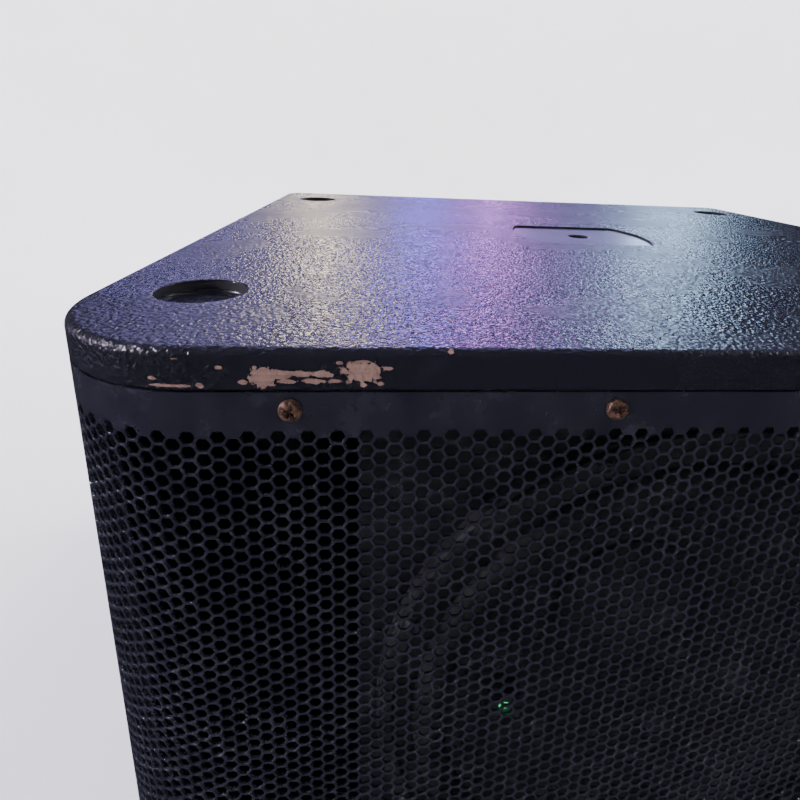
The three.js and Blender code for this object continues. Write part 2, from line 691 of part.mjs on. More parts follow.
// A panel socket for a three-pin audio plug: square flange, round body, ring or cup for the plug.
function audioSocket(place, isCup) {
  const { x, z } = place;
  const face = FLOOR + GAP + 2;
  const plateHalf = [13, 15.5];
  const flange = framed(place, ...plateHalf, FLOOR + GAP, face);
  const body = rod(SOCKET_RADIUS, FLOOR - SOCKET_REACH, face - 0.5, x, z, 24);
  const cup = solid(rod(9.8, face - 14, face + 2, x, z, 24));
  const core = solid(rod(7.8, face - 16, face + 4, x, z, 24));
  return join(flange, body).subtract(isCup ? cup : cup.subtract(core));
}

add(amp, 'input_socket', audioSocket(INPUT, false).subtract(solid(latchSlot())), blackPlastic());
add(amp, 'link_socket', audioSocket(LINK, true), blackPlastic());
add(amp, 'input_latch', framed(LATCH, ...LATCH_HALF, FLOOR - 4, FLOOR + 6), bareSteel());

const BOARD_FACE = FLOOR - SOCKET_REACH - GAP;
const BOARD_THICK = 1.6;
function board(name, x0, x1, z0, z1) {
  add(amp, name, block(x0, x1, BOARD_FACE - BOARD_THICK, BOARD_FACE, z0, z1), circuitBoard());
}
board('input_board', -143, -10, 20, 180);
board('amp_board', 10, 143, -170, 170);
board('power_supply_board', -143, -10, -180, -110);
const transformerRing = turned([[16, -118], [46, -118], [46, -82], [16, -82]], 32);
add(amp, 'transformer', transformerRing.translate(-75, 0, -40), copper());

// A fluted knob on a shaft that reaches through the tray, with a pointer groove.
function knob(place) {
  const { x, z } = place;
  const skirt = rod(9, FLOOR + 1, FLOOR + 4, 0, 0, 24);
  const grip = rod(7, FLOOR + 3, FLOOR + 15, 0, 0, 12);
  const shaft = rod(SHAFT_RADIUS, FLOOR - 8, FLOOR + 2, 0, 0, 12);
  const pointer = block(-0.6, 0.6, FLOOR + 14, FLOOR + 16, 1, 8);
  return join(skirt, grip, shaft).subtract(solid(pointer)).translate([x, 0, z]);
}

add(amp, 'level_knob', knob(LEVEL), blackPlastic());
add(amp, 'crossover_knob', knob(CROSSOVER), blackPlastic());
const button = rod(BUTTON_RADIUS, FLOOR - 10, FLOOR + 6, POLARITY.x, POLARITY.z, 16);
add(amp, 'polarity_button', button, blackPlastic());

// Power switch: a bezel and housing, and a rocker on a pivot across it.
const { halfWidth: rockerWidth, halfHeight: rockerHeight } = ROCKER;
const switchBezel = framed(SWITCH, rockerWidth + 4, rockerHeight + 4, FLOOR + GAP, FLOOR + 2.5);
const switchBody = framed(SWITCH, rockerWidth + 2, rockerHeight + 2, FLOOR - 18, FLOOR + 1);
const switchWell = framed(SWITCH, rockerWidth + 0.5, rockerHeight + 0.8, FLOOR - 14, FLOOR + PLY);
const switchHousing = join(switchBezel, switchBody).subtract(solid(switchWell));
add(amp, 'power_switch_housing', switchHousing, blackPlastic());

const ROCKER_TILT = 8;
function rocker() {
  const shape = new THREE.Shape();
  shape.moveTo(-rockerHeight, 1.5);
  shape.lineTo(0, 0);
  shape.lineTo(rockerHeight, 1.5);
  shape.lineTo(rockerHeight * 0.75, -6);
  shape.lineTo(-rockerHeight * 0.75, -6);
  shape.closePath();
  const geometry = new THREE.ExtrudeGeometry(shape, { depth: 2 * rockerWidth, bevelEnabled: false });
  return geometry.translate(0, 0, -rockerWidth).rotateZ(Math.PI / 2).rotateY(Math.PI / 2);
}

const rockerPlace = new THREE.Group();
rockerPlace.position.set(SWITCH.x, FLOOR + 1, SWITCH.z);
amp.add(rockerPlace);
const rockerMesh = add(rockerPlace, 'power_rocker', rocker(), blackPlastic());
rockerMesh.rotation.x = THREE.MathUtils.degToRad(ROCKER_TILT);

const inletFlange = framed(INLET, INLET_HALF[0] + 4, INLET_HALF[1] + 3, FLOOR + GAP, FLOOR + 2.5);
const inletBody = framed(INLET, ...INLET_HALF, FLOOR - SOCKET_REACH, FLOOR + 1);
const inletWell = framed(INLET, INLET_HALF[0] - 1.5, INLET_HALF[1] - 1.8, FLOOR - 16, FLOOR + PLY);
add(amp, 'mains_inlet', join(inletFlange, inletBody).subtract(solid(inletWell)), blackPlastic());

// Lead from the amplifier to the woofer's terminals, clipped up under the top.
const LEAD_TOP = INSIDE_TOP - LEAD_RADIUS - 3;
const exitZ = INSIDE_MIDDLE + LEAD_EXIT.z;
const terminalZ = INSIDE_MIDDLE + TERMINAL.z;
const coverFace = BACK + COVER_BACK;
const terminalFace = BAFFLE_FRONT + TERMINAL.y + TERMINAL.halfDepth;
const leadRoute = new THREE.CatmullRomCurve3([
  new THREE.Vector3(LEAD_EXIT.x, coverFace + 12, exitZ),
  new THREE.Vector3(LEAD_EXIT.x, coverFace - 6, exitZ),
  new THREE.Vector3(LEAD_EXIT.x, coverFace - 22, exitZ),
  new THREE.Vector3(20, coverFace - 54, exitZ + 40),
  new THREE.Vector3(50, coverFace - 72, LEAD_TOP - 14),
  new THREE.Vector3(66, coverFace - 110, LEAD_TOP),
  new THREE.Vector3(70, -20, LEAD_TOP),
  new THREE.Vector3(60, -75, LEAD_TOP),
  new THREE.Vector3(34, -108, LEAD_TOP - 22),
  new THREE.Vector3(8, terminalFace + 36, terminalZ + 12),
  new THREE.Vector3(0, terminalFace + 14, terminalZ),
  new THREE.Vector3(0, terminalFace + 1, terminalZ),
]);
const leadSection = new THREE.Shape();
leadSection.absarc(0, 0, LEAD_RADIUS, 0, 2 * Math.PI, false);
const lead = new THREE.ExtrudeGeometry(leadSection, {
  steps: 44,
  extrudePath: leadRoute,
  curveSegments: 4,
});
add(cabinet, 'woofer_lead', lead, blackRubber());

export default cabinet;
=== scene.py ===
"""Powered bass cabinet of a line array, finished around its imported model.

Metres, +Z up, the grille faces -Y and the amplifier +Y. Sizes in millimetres go through mm().
"""
import math

import bmesh
import bpy
import numpy as np
from mathutils import Matrix, Vector
from mathutils.geometry import tessellate_polygon


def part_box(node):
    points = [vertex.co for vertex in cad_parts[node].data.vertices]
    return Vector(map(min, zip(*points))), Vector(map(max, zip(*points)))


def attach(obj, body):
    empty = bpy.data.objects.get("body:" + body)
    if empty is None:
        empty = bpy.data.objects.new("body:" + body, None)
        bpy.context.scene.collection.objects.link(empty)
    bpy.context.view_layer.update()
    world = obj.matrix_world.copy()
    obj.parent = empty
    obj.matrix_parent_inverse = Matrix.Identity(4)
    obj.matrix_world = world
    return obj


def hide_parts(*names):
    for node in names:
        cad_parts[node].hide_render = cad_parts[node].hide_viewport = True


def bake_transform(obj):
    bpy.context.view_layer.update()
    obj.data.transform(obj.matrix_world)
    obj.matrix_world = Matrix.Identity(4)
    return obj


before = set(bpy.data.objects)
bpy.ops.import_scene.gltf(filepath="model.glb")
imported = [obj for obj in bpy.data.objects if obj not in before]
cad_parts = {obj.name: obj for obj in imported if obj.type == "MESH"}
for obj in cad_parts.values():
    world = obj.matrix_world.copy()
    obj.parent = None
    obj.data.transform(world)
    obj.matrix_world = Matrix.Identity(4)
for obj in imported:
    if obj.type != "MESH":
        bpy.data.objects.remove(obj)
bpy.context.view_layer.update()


def mm(value):
    return value / 1000


# ---- Places, from the frame ---------------------------------------------------------------

TOP_LOW, TOP_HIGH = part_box("top_panel")
BOTTOM_LOW, BOTTOM_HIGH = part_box("bottom_panel")
HALF = TOP_HIGH.x
FRONT = TOP_LOW.y
BACK = TOP_HIGH.y
TOP = TOP_HIGH.z
PLY = TOP_HIGH.z - TOP_LOW.z
INSIDE_LOW, INSIDE_HIGH = (corner.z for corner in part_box("left_port_wall"))
INSIDE_MIDDLE = (INSIDE_LOW + INSIDE_HIGH) / 2
BAFFLE_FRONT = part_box("baffle")[0].y
GAP = mm(0.3)
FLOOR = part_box("heatsink")[0].y - GAP  # of the amplifier's tray

FRONT_RADIUS = mm(75)
REAR_RADIUS = PLY
FEET = [f"{end}_{side}_foot" for end in ("front", "rear") for side in ("left", "right")]
SIDES = (("left", -1), ("right", 1))


def middle(node):
    low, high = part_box(node)
    return (low + high) / 2


def half_size(node):
    low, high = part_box(node)
    return (high - low) / 2


# ---- Outlines, as lists of (u, v), and paths, as lists of (inset or radius, level) --------


def arc(centre_u, centre_v, radius, start, end, steps):
    """Points on an arc between two angles in degrees, ends included."""
    turns = [math.radians(start + (end - start) * i / steps) for i in range(steps + 1)]
    return [(centre_u + radius * math.cos(t), centre_v + radius * math.sin(t)) for t in turns]


def circle(radius, sides=64, centre_u=0.0, centre_v=0.0):
    return arc(centre_u, centre_v, radius, 0, 360, sides)[:-1]


def rounded_rectangle(half_u, half_v, radius, centre_u=0.0, centre_v=0.0, steps=6):
    points = []
    for quarter, (su, sv) in enumerate(((1, 1), (-1, 1), (-1, -1), (1, -1))):
        corner_u = centre_u + su * (half_u - radius)
        corner_v = centre_v + sv * (half_v - radius)
        points += arc(corner_u, corner_v, radius, 90 * quarter, 90 * quarter + 90, steps)
    return points


def cabinet_outline(inset):
    """The cabinet's plan: large rounded front corners, small rear ones."""
    points = []
    for radius, side, y, start, steps in (
        (FRONT_RADIUS, 1, FRONT + FRONT_RADIUS, -90, 24), (REAR_RADIUS, 1, BACK - REAR_RADIUS, 0, 12),
        (REAR_RADIUS, -1, BACK - REAR_RADIUS, 90, 12), (FRONT_RADIUS, -1, FRONT + FRONT_RADIUS, 180, 24),
    ):
        points += arc(side * (HALF - radius), y, radius - inset, start, start + 90, steps)
    return points


def plate_outline(grow):
    """The pole plate: straight front and back edges, bulging sides."""
    plate, half = middle("pole_plate"), half_size("pole_plate")
    bulge = mm(120)
    radius = bulge + grow
    sweep = math.degrees(math.asin((half.y + grow) / radius))
    points = arc(half.x - bulge, plate.y, radius, -sweep, sweep, 20)
    points += arc(bulge - half.x, plate.y, radius, 180 - sweep, 180 + sweep, 20)
    return points


def quarter_turn(steps=4):
    """Angles from 0 to a right angle."""
    return [math.pi / 2 * i / steps for i in range(steps + 1)]


def edges(low, high, low_round, high_round, steps=4):
    """From one face of a slab to the other, with both edges rounded."""
    turns = quarter_turn(steps)
    path = [(low_round * (1 - math.sin(t)), low + low_round * (1 - math.cos(t))) for t in turns]
    path += [(high_round * (1 - math.cos(t)), high - high_round * (1 - math.sin(t))) for t in turns]
    return path


def from_level(level, path):
    """A path given in millimetres, its levels counted from one place."""
    return [(mm(across), level + mm(rise)) for across, rise in path]


# ---- Shells -------------------------------------------------------------------------------


def plan_view(u, v, level):
    return (u, v, level)


def front_view(u, v, level):
    return (u, level, v)


def side_view(u, v, level):
    return (level, u, v)


class Shell:
    """Points and faces of one piece, gathered ring by ring."""

    def __init__(self, view=plan_view):
        self.view = view
        self.points = []
        self.faces = []
        self.kinds = []

    def face(self, corners, kind=0):
        self.faces.append(list(corners))
        self.kinds.append(kind)

    def loop(self, points):
        """Adds points and gives their numbers."""
        start = len(self.points)
        self.points += points
        return list(range(start, len(self.points)))

    def ring(self, outline, level):
        return self.loop([self.view(u, v, level) for u, v in outline])

    def bridge(self, first, second, kind=0):
        for i in range(len(first)):
            j = (i + 1) % len(first)
            self.face((first[i], first[j], second[j], second[i]), kind)

    def bridges(self, rings, kind=0):
        for first, second in zip(rings, rings[1:]):
            self.bridge(first, second, kind)

    def wall(self, outline_of, path, kind=0):
        """A wall through (inset, level) steps. Gives its first and last rings."""
        rings = [self.ring(outline_of(inset), level) for inset, level in path]
        self.bridges(rings, kind)
        return rings[0], rings[-1]

    def cap(self, outer, *holes, kind=0):
        """A flat face inside one ring and outside the others."""
        if not holes:
            self.face(outer, kind)
            return
        loops = [[Vector(self.points[i]) for i in loop] for loop in (outer, *holes)]
        order = [i for loop in (outer, *holes) for i in loop]
        for triangle in tessellate_polygon(loops):
            self.face([order[i] for i in triangle], kind)

    def well(self, outline, top, floor):
        """A straight-sided well with a flat floor. Gives its mouth."""
        mouth, foot = self.ring(outline, top), self.ring(outline, floor)
        self.bridge(mouth, foot)
        self.cap(foot)
        return mouth

    def bar(self, rings):
        """A closed solid through rings, with a cap at each end."""
        self.bridges(rings)
        self.cap(rings[0])
        self.cap(rings[-1])

    def block(self, outline_of, path):
        """A closed solid through (inset, level) steps."""
        self.bar([self.ring(outline_of(inset), level) for inset, level in path])

    def prism(self, outline, low, high):
        self.bar([self.ring(outline, low), self.ring(outline, high)])

    def turn(self, profile, centre_u=0.0, centre_v=0.0, sides=96):
        """A closed (radius, level) profile turned about the view's level axis."""
        rings = []
        for radius, level in profile:
            outline = circle(radius, sides, centre_u, centre_v) if radius else [(centre_u, centre_v)]
            rings.append(self.ring(outline, level))
        for first, second in zip(rings, rings[1:] + rings[:1]):
            if len(first) == len(second) == 1:
                continue
            if len(first) == 1 or len(second) == 1:
                tip, rim = (first, second) if len(first) == 1 else (second, first)
                for i in range(sides):
                    self.face((tip[0], rim[i], rim[(i + 1) % sides]))
            else:
                self.bridge(first, second)


def hex_head(shell, spot, radius, path, socket_radius, socket_floor):
    """A screw head through (inset, level) steps, with a hexagonal socket in its last face."""
    rim, face = shell.wall(lambda inset: circle(radius - inset, 32, *spot), path)
    shell.cap(face, shell.well(circle(socket_radius, 6, *spot), path[-1][1], socket_floor))
    shell.cap(rim)


def add(name, data):
    made = bpy.data.objects.new(name, data)
    bpy.context.scene.collection.objects.link(made)
    return made


def smooth_to(mesh, angle):
    """Smooth shading, broken along the edges sharper than an angle."""
    mesh.shade_smooth()
    mesh.set_sharp_from_angle(angle=math.radians(angle))


def mesh_of(name, shell, sharp=35):
    mesh = bpy.data.meshes.new(name)
    mesh.from_pydata(shell.points, [], shell.faces)
    mesh.polygons.foreach_set("material_index", shell.kinds)
    facing = bmesh.new()
    facing.from_mesh(mesh)
    bmesh.ops.recalc_face_normals(facing, faces=facing.faces)
    facing.to_mesh(mesh)
    facing.free()
    smooth_to(mesh, sharp)
    return mesh


def even_shading(made):
    modifier = made.modifiers.new("even_shading", "WEIGHTED_NORMAL")
    modifier.keep_sharp = True
    modifier.weight = 90


def place(made, finishes, stands_for=(), body="cabinet"):
    """Gives a piece its finishes, hides the CAD nodes it stands for and attaches it to its body."""
    for finish in finishes:
        made.data.materials.append(finish)
    if stands_for:
        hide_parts(*stands_for)
    if body:
        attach(made, body)


def piece(name, shell, finish, stands_for=(), body="cabinet", sharp=35):
    made = add(name, mesh_of(name, shell, sharp))
    even_shading(made)
    place(made, finish if isinstance(finish, list) else [finish], stands_for, body)
    return made


def turned(
    name, profile, spot, finish, stands_for=(), body="cabinet", sides=48, sharp=35, view=front_view
):
    """A piece turned about the view's level axis through spot."""
    shell = Shell(view)
    shell.turn(profile, *spot, sides)
    piece(name, shell, finish, stands_for, body, sharp)


def settle(made):
    """Turns a piece's modifiers into mesh."""
    bpy.context.view_layer.update()
    graph = bpy.context.evaluated_depsgraph_get()
    mesh = bpy.data.meshes.new_from_object(made.evaluated_get(graph))
    made.modifiers.clear()
    made.data = mesh


def cut(made, *tools):
    """Cuts closed shells out of a piece's mesh."""
    for tool in tools:
        cutter = add("cutter", mesh_of("cutter", tool))
        modifier = made.modifiers.new("cut", "BOOLEAN")
        modifier.operation = "DIFFERENCE"
        modifier.solver = "EXACT"
        modifier.object = cutter
        settle(made)
        bpy.data.objects.remove(cutter)


def soften(made, width, segments=2, angle=38):
    """Rounds the hard edges of a piece or a CAD node."""
    bevel = made.modifiers.new("soft_edges", "BEVEL")
    bevel.width = width
    bevel.segments = segments
    bevel.limit_method = "ANGLE"
    bevel.angle_limit = math.radians(angle)
    bevel.harden_normals = True


def dress(node, finish, width):
    """A CAD node whose shape is right: its flat faces are joined up and its edges rounded."""
    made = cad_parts[node]
    made.data.materials.clear()
    made.data.materials.append(finish)
    weld = made.modifiers.new("weld", "WELD")
    weld.merge_threshold = mm(0.01)
    flat = made.modifiers.new("flat_faces", "DECIMATE")
    flat.decimate_type = "DISSOLVE"
    flat.angle_limit = math.radians(1)
    if width:
        soften(made, width)


# ---- Materials ----------------------------------------------------------------------------

BLACK = (0.008, 0.008, 0.013)
WOOD = (0.21, 0.125, 0.095)
DARK_WOOD = (0.15, 0.085, 0.062)


class Surface:
    """A new material with a Principled shader, and the nodes that feed it."""

    def __init__(self, name, colour, roughness, metallic=0.0, **sockets):
        self.made = bpy.data.materials.new(name)
        self.made.use_nodes = True
        self.tree = self.made.node_tree
        self.shader = self.tree.nodes["Principled BSDF"]
        self.shader.inputs["Base Color"].default_value = (*colour, 1.0)
        self.shader.inputs["Roughness"].default_value = roughness
        self.shader.inputs["Metallic"].default_value = metallic
        for socket, value in sockets.items():
            self.shader.inputs[socket.replace("_", " ")].default_value = value
        self.where = self.tree.nodes.new("ShaderNodeTexCoord").outputs["Object"]

    def put(self, kind, *values, settings=(), output=0, **inputs):
        """Adds a shader node. Inputs are numbers, colours or other nodes' outputs."""
        node = self.tree.nodes.new("ShaderNode" + kind)
        for key, value in dict(settings).items():
            setattr(node, key, value)
        sockets = list(zip(node.inputs, values))
        sockets += [(node.inputs[name.replace("_", " ")], value) for name, value in inputs.items()]
        for socket, value in sockets:
            if isinstance(value, bpy.types.NodeSocket):
                self.tree.links.new(value, socket)
            else:
                socket.default_value = value
        return node.outputs[output]

    def calc(self, operation, *values):
        return self.put("Math", *values, settings={"operation": operation})

    def vector(self, operation, *values, output=0):
        return self.put("VectorMath", *values, settings={"operation": operation}, output=output)

    def noise(self, scale, detail=2.0, roughness=0.5, distortion=0.0, stretch=None):
        """Noise in metres, or stretched by a different scale along each axis."""
        where = self.put("Mapping", self.where, Scale=stretch) if stretch else self.where
        return self.put(
            "TexNoise", Vector=where, Scale=scale, Detail=detail, Roughness=roughness,
            Distortion=distortion,
        )

    def wave(self, direction, scale, **inputs):
        settings = {"bands_direction": direction}
        return self.put("TexWave", settings=settings, Vector=self.where, Scale=scale, **inputs)

    def fade(self, value, start, end, low=0.0, high=1.0):
        """A smooth step from low at start to high at end."""
        settings = {"interpolation_type": "SMOOTHSTEP"}
        return self.put("MapRange", value, start, end, low, high, settings=settings)

    def mix(self, amount, first, second):
        colours = [
            colour if isinstance(colour, bpy.types.NodeSocket) else (*colour, 1.0)
            for colour in (first, second)
        ]
        return self.put("MixRGB", amount, *colours)

    def raised(self, height, distance, **below):
        return self.put(
            "Bump", Height=height, Distance=distance, Strength=1.0, Filter_Width=0.1, **below
        )

    def finish(self, colour, normal=None, gloss=None, glow=None):
        """Joins outputs to the shader's sockets and gives the material."""
        for socket, output in (
            ("Base Color", colour), ("Normal", normal), ("Roughness", gloss), ("Emission Color", glow),
        ):
            if output:
                self.tree.links.new(output, self.shader.inputs[socket])
        return self.made


# Chips in the paint of the top's front edge, in millimetres: the centre's x and its depth below
# the top, half the width and half the height.
CHIPS = [
    (-240.3, 12.2, 5.6, 4.6), (-233.0, 11.2, 4.6, 1.9), (-225.5, 10.6, 5.0, 1.3),
    (-217.0, 10.7, 4.6, 1.6), (-231.0, 14.0, 4.5, 1.0), (-220.0, 13.8, 5.2, 1.1),
    (-211.5, 13.8, 3.0, 0.9), (-200.7, 10.0, 8.0, 4.8), (-209.5, 5.8, 1.3, 0.7),
    (-200.0, 5.2, 2.8, 0.7), (-189.9, 8.2, 1.7, 0.9), (-193.0, 15.0, 1.2, 0.9),
    (-200.0, 15.5, 1.5, 0.9), (-248.6, 14.3, 2.0, 1.0), (-275.9, 16.0, 8.8, 0.6),
    (-265.5, 15.8, 1.8, 1.2), (-284.2, 13.2, 1.6, 0.9), (-257.3, 7.9, 1.4, 0.8),
    (-274.0, 4.3, 1.6, 0.3), (-164.0, 1.2, 1.4, 0.8),
]
CHIP_REACH = mm(12)  # how far a chip goes back from the front


def chip_mask(paint, grain):
    """1 where the paint is gone, with ragged edges."""
    nearest = None
    for x, below, half_width, half_height in CHIPS:
        shifted = paint.vector("SUBTRACT", paint.where, (mm(x), FRONT, TOP - mm(below)))
        stretch = (1 / mm(half_width), 1 / CHIP_REACH, 1 / mm(half_height))
        scaled = paint.vector("MULTIPLY", shifted, stretch)
        reach = paint.vector("LENGTH", scaled, output="Value")
        nearest = paint.calc("MINIMUM", nearest, reach) if nearest else reach
    uneven = paint.calc("MULTIPLY", paint.calc("SUBTRACT", grain, 0.5), 2.0)
    return paint.fade(paint.calc("ADD", nearest, uneven), 1.04, 0.96)


def textured_paint(name, chipped=False):
    """Coarse spattered semi-gloss black over plywood."""
    paint = Surface(name, BLACK, 0.3, Specular_IOR_Level=0.5)
    paint.made.cycles.use_bump_map_correction = False
    lumps = paint.noise(430, 1.2, 0.5, 0.2)
    spatter = paint.fade(paint.put("TexVoronoi", Vector=paint.where, Scale=360), 0.62, 0.10)
    height = paint.calc("ADD", paint.fade(lumps, 0.30, 0.70), paint.calc("MULTIPLY", spatter, 0.6))
    normal = paint.raised(height, mm(0.34))
    smudges = paint.noise(9, 4.0, 0.6)
    dust = paint.fade(paint.noise(40, 6.0, 0.7), 0.5, 0.8, 0.0, 0.3)
    colour = paint.mix(dust, BLACK, (0.022, 0.021, 0.030))
    gloss = paint.fade(smudges, 0.3, 0.75, 0.20, 0.34)
    if chipped:
        mask = chip_mask(paint, paint.noise(360, 5.0, 0.62, 0.2))
        streaks = paint.noise(1.0, 4.0, stretch=(90, 90, 900))
        colour = paint.mix(mask, colour, paint.mix(paint.fade(streaks, 0.3, 0.7), WOOD, DARK_WOOD))
        gloss = paint.mix(mask, gloss, (0.85, 0.85, 0.85))
        normal = paint.raised(paint.calc("SUBTRACT", 1.0, mask), mm(0.25), Normal=normal)
    return paint.finish(colour, normal, gloss)


def smooth_paint():
    """Thin black paint over routed plywood."""
    paint = Surface("smooth_black_paint", (0.012, 0.012, 0.014), 0.5)
    grain = paint.noise(1.0, 5.0, 0.6, stretch=(60, 60, 420))
    height = paint.calc("ADD", grain, paint.calc("MULTIPLY", paint.noise(900), 0.3))
    gloss = paint.fade(paint.noise(22, 3.0), 0.3, 0.7, 0.38, 0.58)
    colour = paint.mix(paint.fade(grain, 0.35, 0.75), (0.010, 0.010, 0.012), (0.022, 0.021, 0.024))
    return paint.finish(colour, paint.raised(height, mm(0.12)), gloss)


def bare_plywood():
    """Birch ply: long grain on the faces, thin dark layers on the edges."""
    ply = Surface("bare_plywood", (0.52, 0.36, 0.22), 0.7)
    grain = ply.noise(1.0, 6.0, 0.6, 0.4, stretch=(14, 160, 160))
    layers = ply.wave("Z", 110.0, Distortion=0.6, Detail=2.0, Detail_Scale=0.8)
    colour = ply.mix(ply.fade(grain, 0.3, 0.75), (0.60, 0.44, 0.28), (0.40, 0.25, 0.14))
    colour = ply.mix(ply.fade(layers, 0.7, 1.0, 0.0, 0.45), colour, (0.26, 0.15, 0.08))
    return ply.finish(colour, ply.raised(grain, mm(0.15)))


def grained(name, colour, roughness, scale, depth, vary=0.5, **sockets):
    """A moulded, cast or coated surface: a fine grain, with patches of gloss and shade."""
    coat = Surface(name, colour, roughness, **sockets)
    grain = coat.noise(scale, 3.0, 0.6)
    patches = coat.noise(scale / 24, 4.0, 0.6)
    lighter = tuple(min(1.0, channel * (1 + vary) + 0.002) for channel in colour)
    shade = coat.mix(coat.fade(patches, 0.35, 0.75), colour, lighter)
    gloss = coat.fade(patches, 0.3, 0.7, roughness * 0.85, min(1.0, roughness * 1.15))
    return coat.finish(shade, coat.raised(grain, depth), gloss)


def brushed(name, colour, roughness, stretch, metallic=1.0):
    """A sheet or turned metal surface with fine scratches along one direction."""
    metal = Surface(name, colour, roughness, metallic)
    lines = metal.noise(1.0, 4.0, 0.7, stretch=stretch)
    marks = metal.noise(60, 5.0, 0.65)
    darker = tuple(channel * 0.6 for channel in colour)
    shade = metal.mix(metal.fade(marks, 0.4, 0.8), colour, darker)
    gloss = metal.fade(lines, 0.3, 0.7, roughness * 0.75, min(1.0, roughness * 1.3))
    return metal.finish(shade, metal.raised(lines, mm(0.02)), gloss)


def worn_screw():
    """Black zinc worn and rusted to brown steel."""
    steel = Surface("worn_screw", (0.20, 0.12, 0.09), 0.5, 0.75)
    rust = steel.noise(420, 5.0, 0.65, 0.4)
    rub = steel.noise(900, 3.0)
    colour = steel.mix(steel.fade(rust, 0.38, 0.62), (0.035, 0.028, 0.028), (0.27, 0.14, 0.085))
    colour = steel.mix(steel.fade(rub, 0.56, 0.72, 0.0, 0.8), colour, (0.50, 0.37, 0.30))
    gloss = steel.fade(rust, 0.35, 0.7, 0.32, 0.7)
    return steel.finish(colour, steel.raised(rust, mm(0.14)), gloss)


def paper_cone():
    """Treated pulp with pressed fibres."""
    pulp = Surface("paper_cone", (0.016, 0.016, 0.018), 0.8)
    fibres = pulp.noise(480, 6.0, 0.75, 1.6)
    colour = pulp.mix(pulp.fade(fibres, 0.4, 0.7), (0.010, 0.010, 0.012), (0.034, 0.033, 0.036))
    return pulp.finish(colour, pulp.raised(fibres, mm(0.2)))


def copper_winding():
    """Enamelled wire laid turn by turn."""
    wire = Surface("copper_winding", (0.62, 0.28, 0.13), 0.3, 0.9)
    turns = wire.wave("Y", 620.0, Distortion=0.4, Detail=1.0)
    colour = wire.mix(turns, (0.30, 0.11, 0.05), (0.70, 0.33, 0.16))
    return wire.finish(colour, wire.raised(turns, mm(0.15)))


def spider_cloth():
    """Woven cloth stiffened with brown resin."""
    cloth = Surface("spider_cloth", (0.36, 0.21, 0.08), 0.75)
    weave = cloth.calc("MAXIMUM", cloth.wave("X", 300.0), cloth.wave("Z", 300.0))
    colour = cloth.mix(weave, (0.20, 0.11, 0.04), (0.42, 0.26, 0.10))
    return cloth.finish(colour, cloth.raised(weave, mm(0.2)))


def circuit_board():
    """Green solder mask over a web of tracks."""
    board = Surface("circuit_board", (0.01, 0.10, 0.04), 0.3)
    tracks = board.put(
        "TexVoronoi", settings={"distance": "MANHATTAN"}, Vector=board.where, Scale=150.0,
        Randomness=0.6,
    )
    lines = board.fade(tracks, 0.48, 0.52)
    colour = board.mix(lines, (0.008, 0.085, 0.035), (0.03, 0.19, 0.08))
    return board.finish(colour, board.raised(lines, mm(0.05)))


def lens(name, colour, glow):
    """A small tinted lens, faintly lit from behind."""
    glass = Surface(name, colour, 0.15, Emission_Strength=glow)
    swirl = glass.noise(500)
    dim = tuple(channel * 0.45 for channel in colour)
    tint = glass.mix(glass.fade(swirl, 0.35, 0.65), colour, dim)
    return glass.finish(tint, glass.raised(swirl, mm(0.05)), glow=tint)


PAINT = textured_paint("textured_paint")
CHIPPED_PAINT = textured_paint("chipped_paint", chipped=True)
SMOOTH_PAINT = smooth_paint()
PLYWOOD = bare_plywood()
POWDER = grained("powder_coat", (0.010, 0.010, 0.016), 0.25, 1500, mm(0.03), Specular_IOR_Level=0.6)
SCREW = worn_screw()
RUBBER = grained("rubber", (0.012, 0.012, 0.012), 0.72, 700, mm(0.08), Specular_IOR_Level=0.3)
FOAM = grained("foam_rubber", (0.013, 0.013, 0.014), 0.85, 900, mm(0.25), Specular_IOR_Level=0.3)
JACKET = grained("lead_jacket", (0.018, 0.018, 0.019), 0.45, 300, mm(0.05))
PLATE_COAT = grained("plate_coat", (0.012, 0.012, 0.016), 0.3, 500, mm(0.02))
ALUMINIUM = brushed("black_aluminium", (0.020, 0.020, 0.023), 0.38, (30, 30, 1400), metallic=0.6)
ZINC = brushed("zinc_steel", (0.55, 0.55, 0.57), 0.3, (800, 90, 800))
FERRITE = grained("ferrite", (0.035, 0.035, 0.037), 0.65, 300, mm(0.2))
CASTING = grained("cast_frame", (0.018, 0.018, 0.019), 0.45, 420, mm(0.12))
PAPER = paper_cone()
COPPER = copper_winding()
CLOTH = spider_cloth()
BOARD = circuit_board()
GREEN = lens("green_lens", (0.06, 0.85, 0.28), 1.4)
PLASTIC = grained("black_plastic", (0.016, 0.016, 0.017), 0.42, 1100, mm(0.05))
PRINT = grained("white_print", (0.62, 0.62, 0.60), 0.6, 900, mm(0.02), vary=0.1)

# ---- Panels -------------------------------------------------------------------------------

TOP_ROUND = mm(4)
CUP_RADIUS = mm(23.6)
CUP_DEPTH = mm(8)
CUP_COVE = mm(2.6)
CUP_LIP = mm(0.7)
POCKET_LIP = mm(0.5)
SOCKET_BORE = mm(20)


def foot_cup(shell, x, y):
    """A round cup sunk in the top, with a coved floor and a rounded lip. Gives its mouth."""
    floor = TOP - CUP_DEPTH
    cove, lip = CUP_COVE, CUP_LIP
    turns = quarter_turn()
    path = [(-cove * (1 - math.sin(t)), floor + cove * (1 - math.cos(t))) for t in turns]
    path += [(lip * (1 - math.cos(t)), TOP - lip * (1 - math.sin(t))) for t in turns]
    rings = [shell.ring(circle(CUP_RADIUS + grow, 72, x, y), level) for grow, level in path]
    shell.cap(rings[0])
    shell.bridges(rings[:5], kind=2)
    shell.bridges(rings[4:6], kind=1)
    shell.bridges(rings[5:])
    return rings[-1]


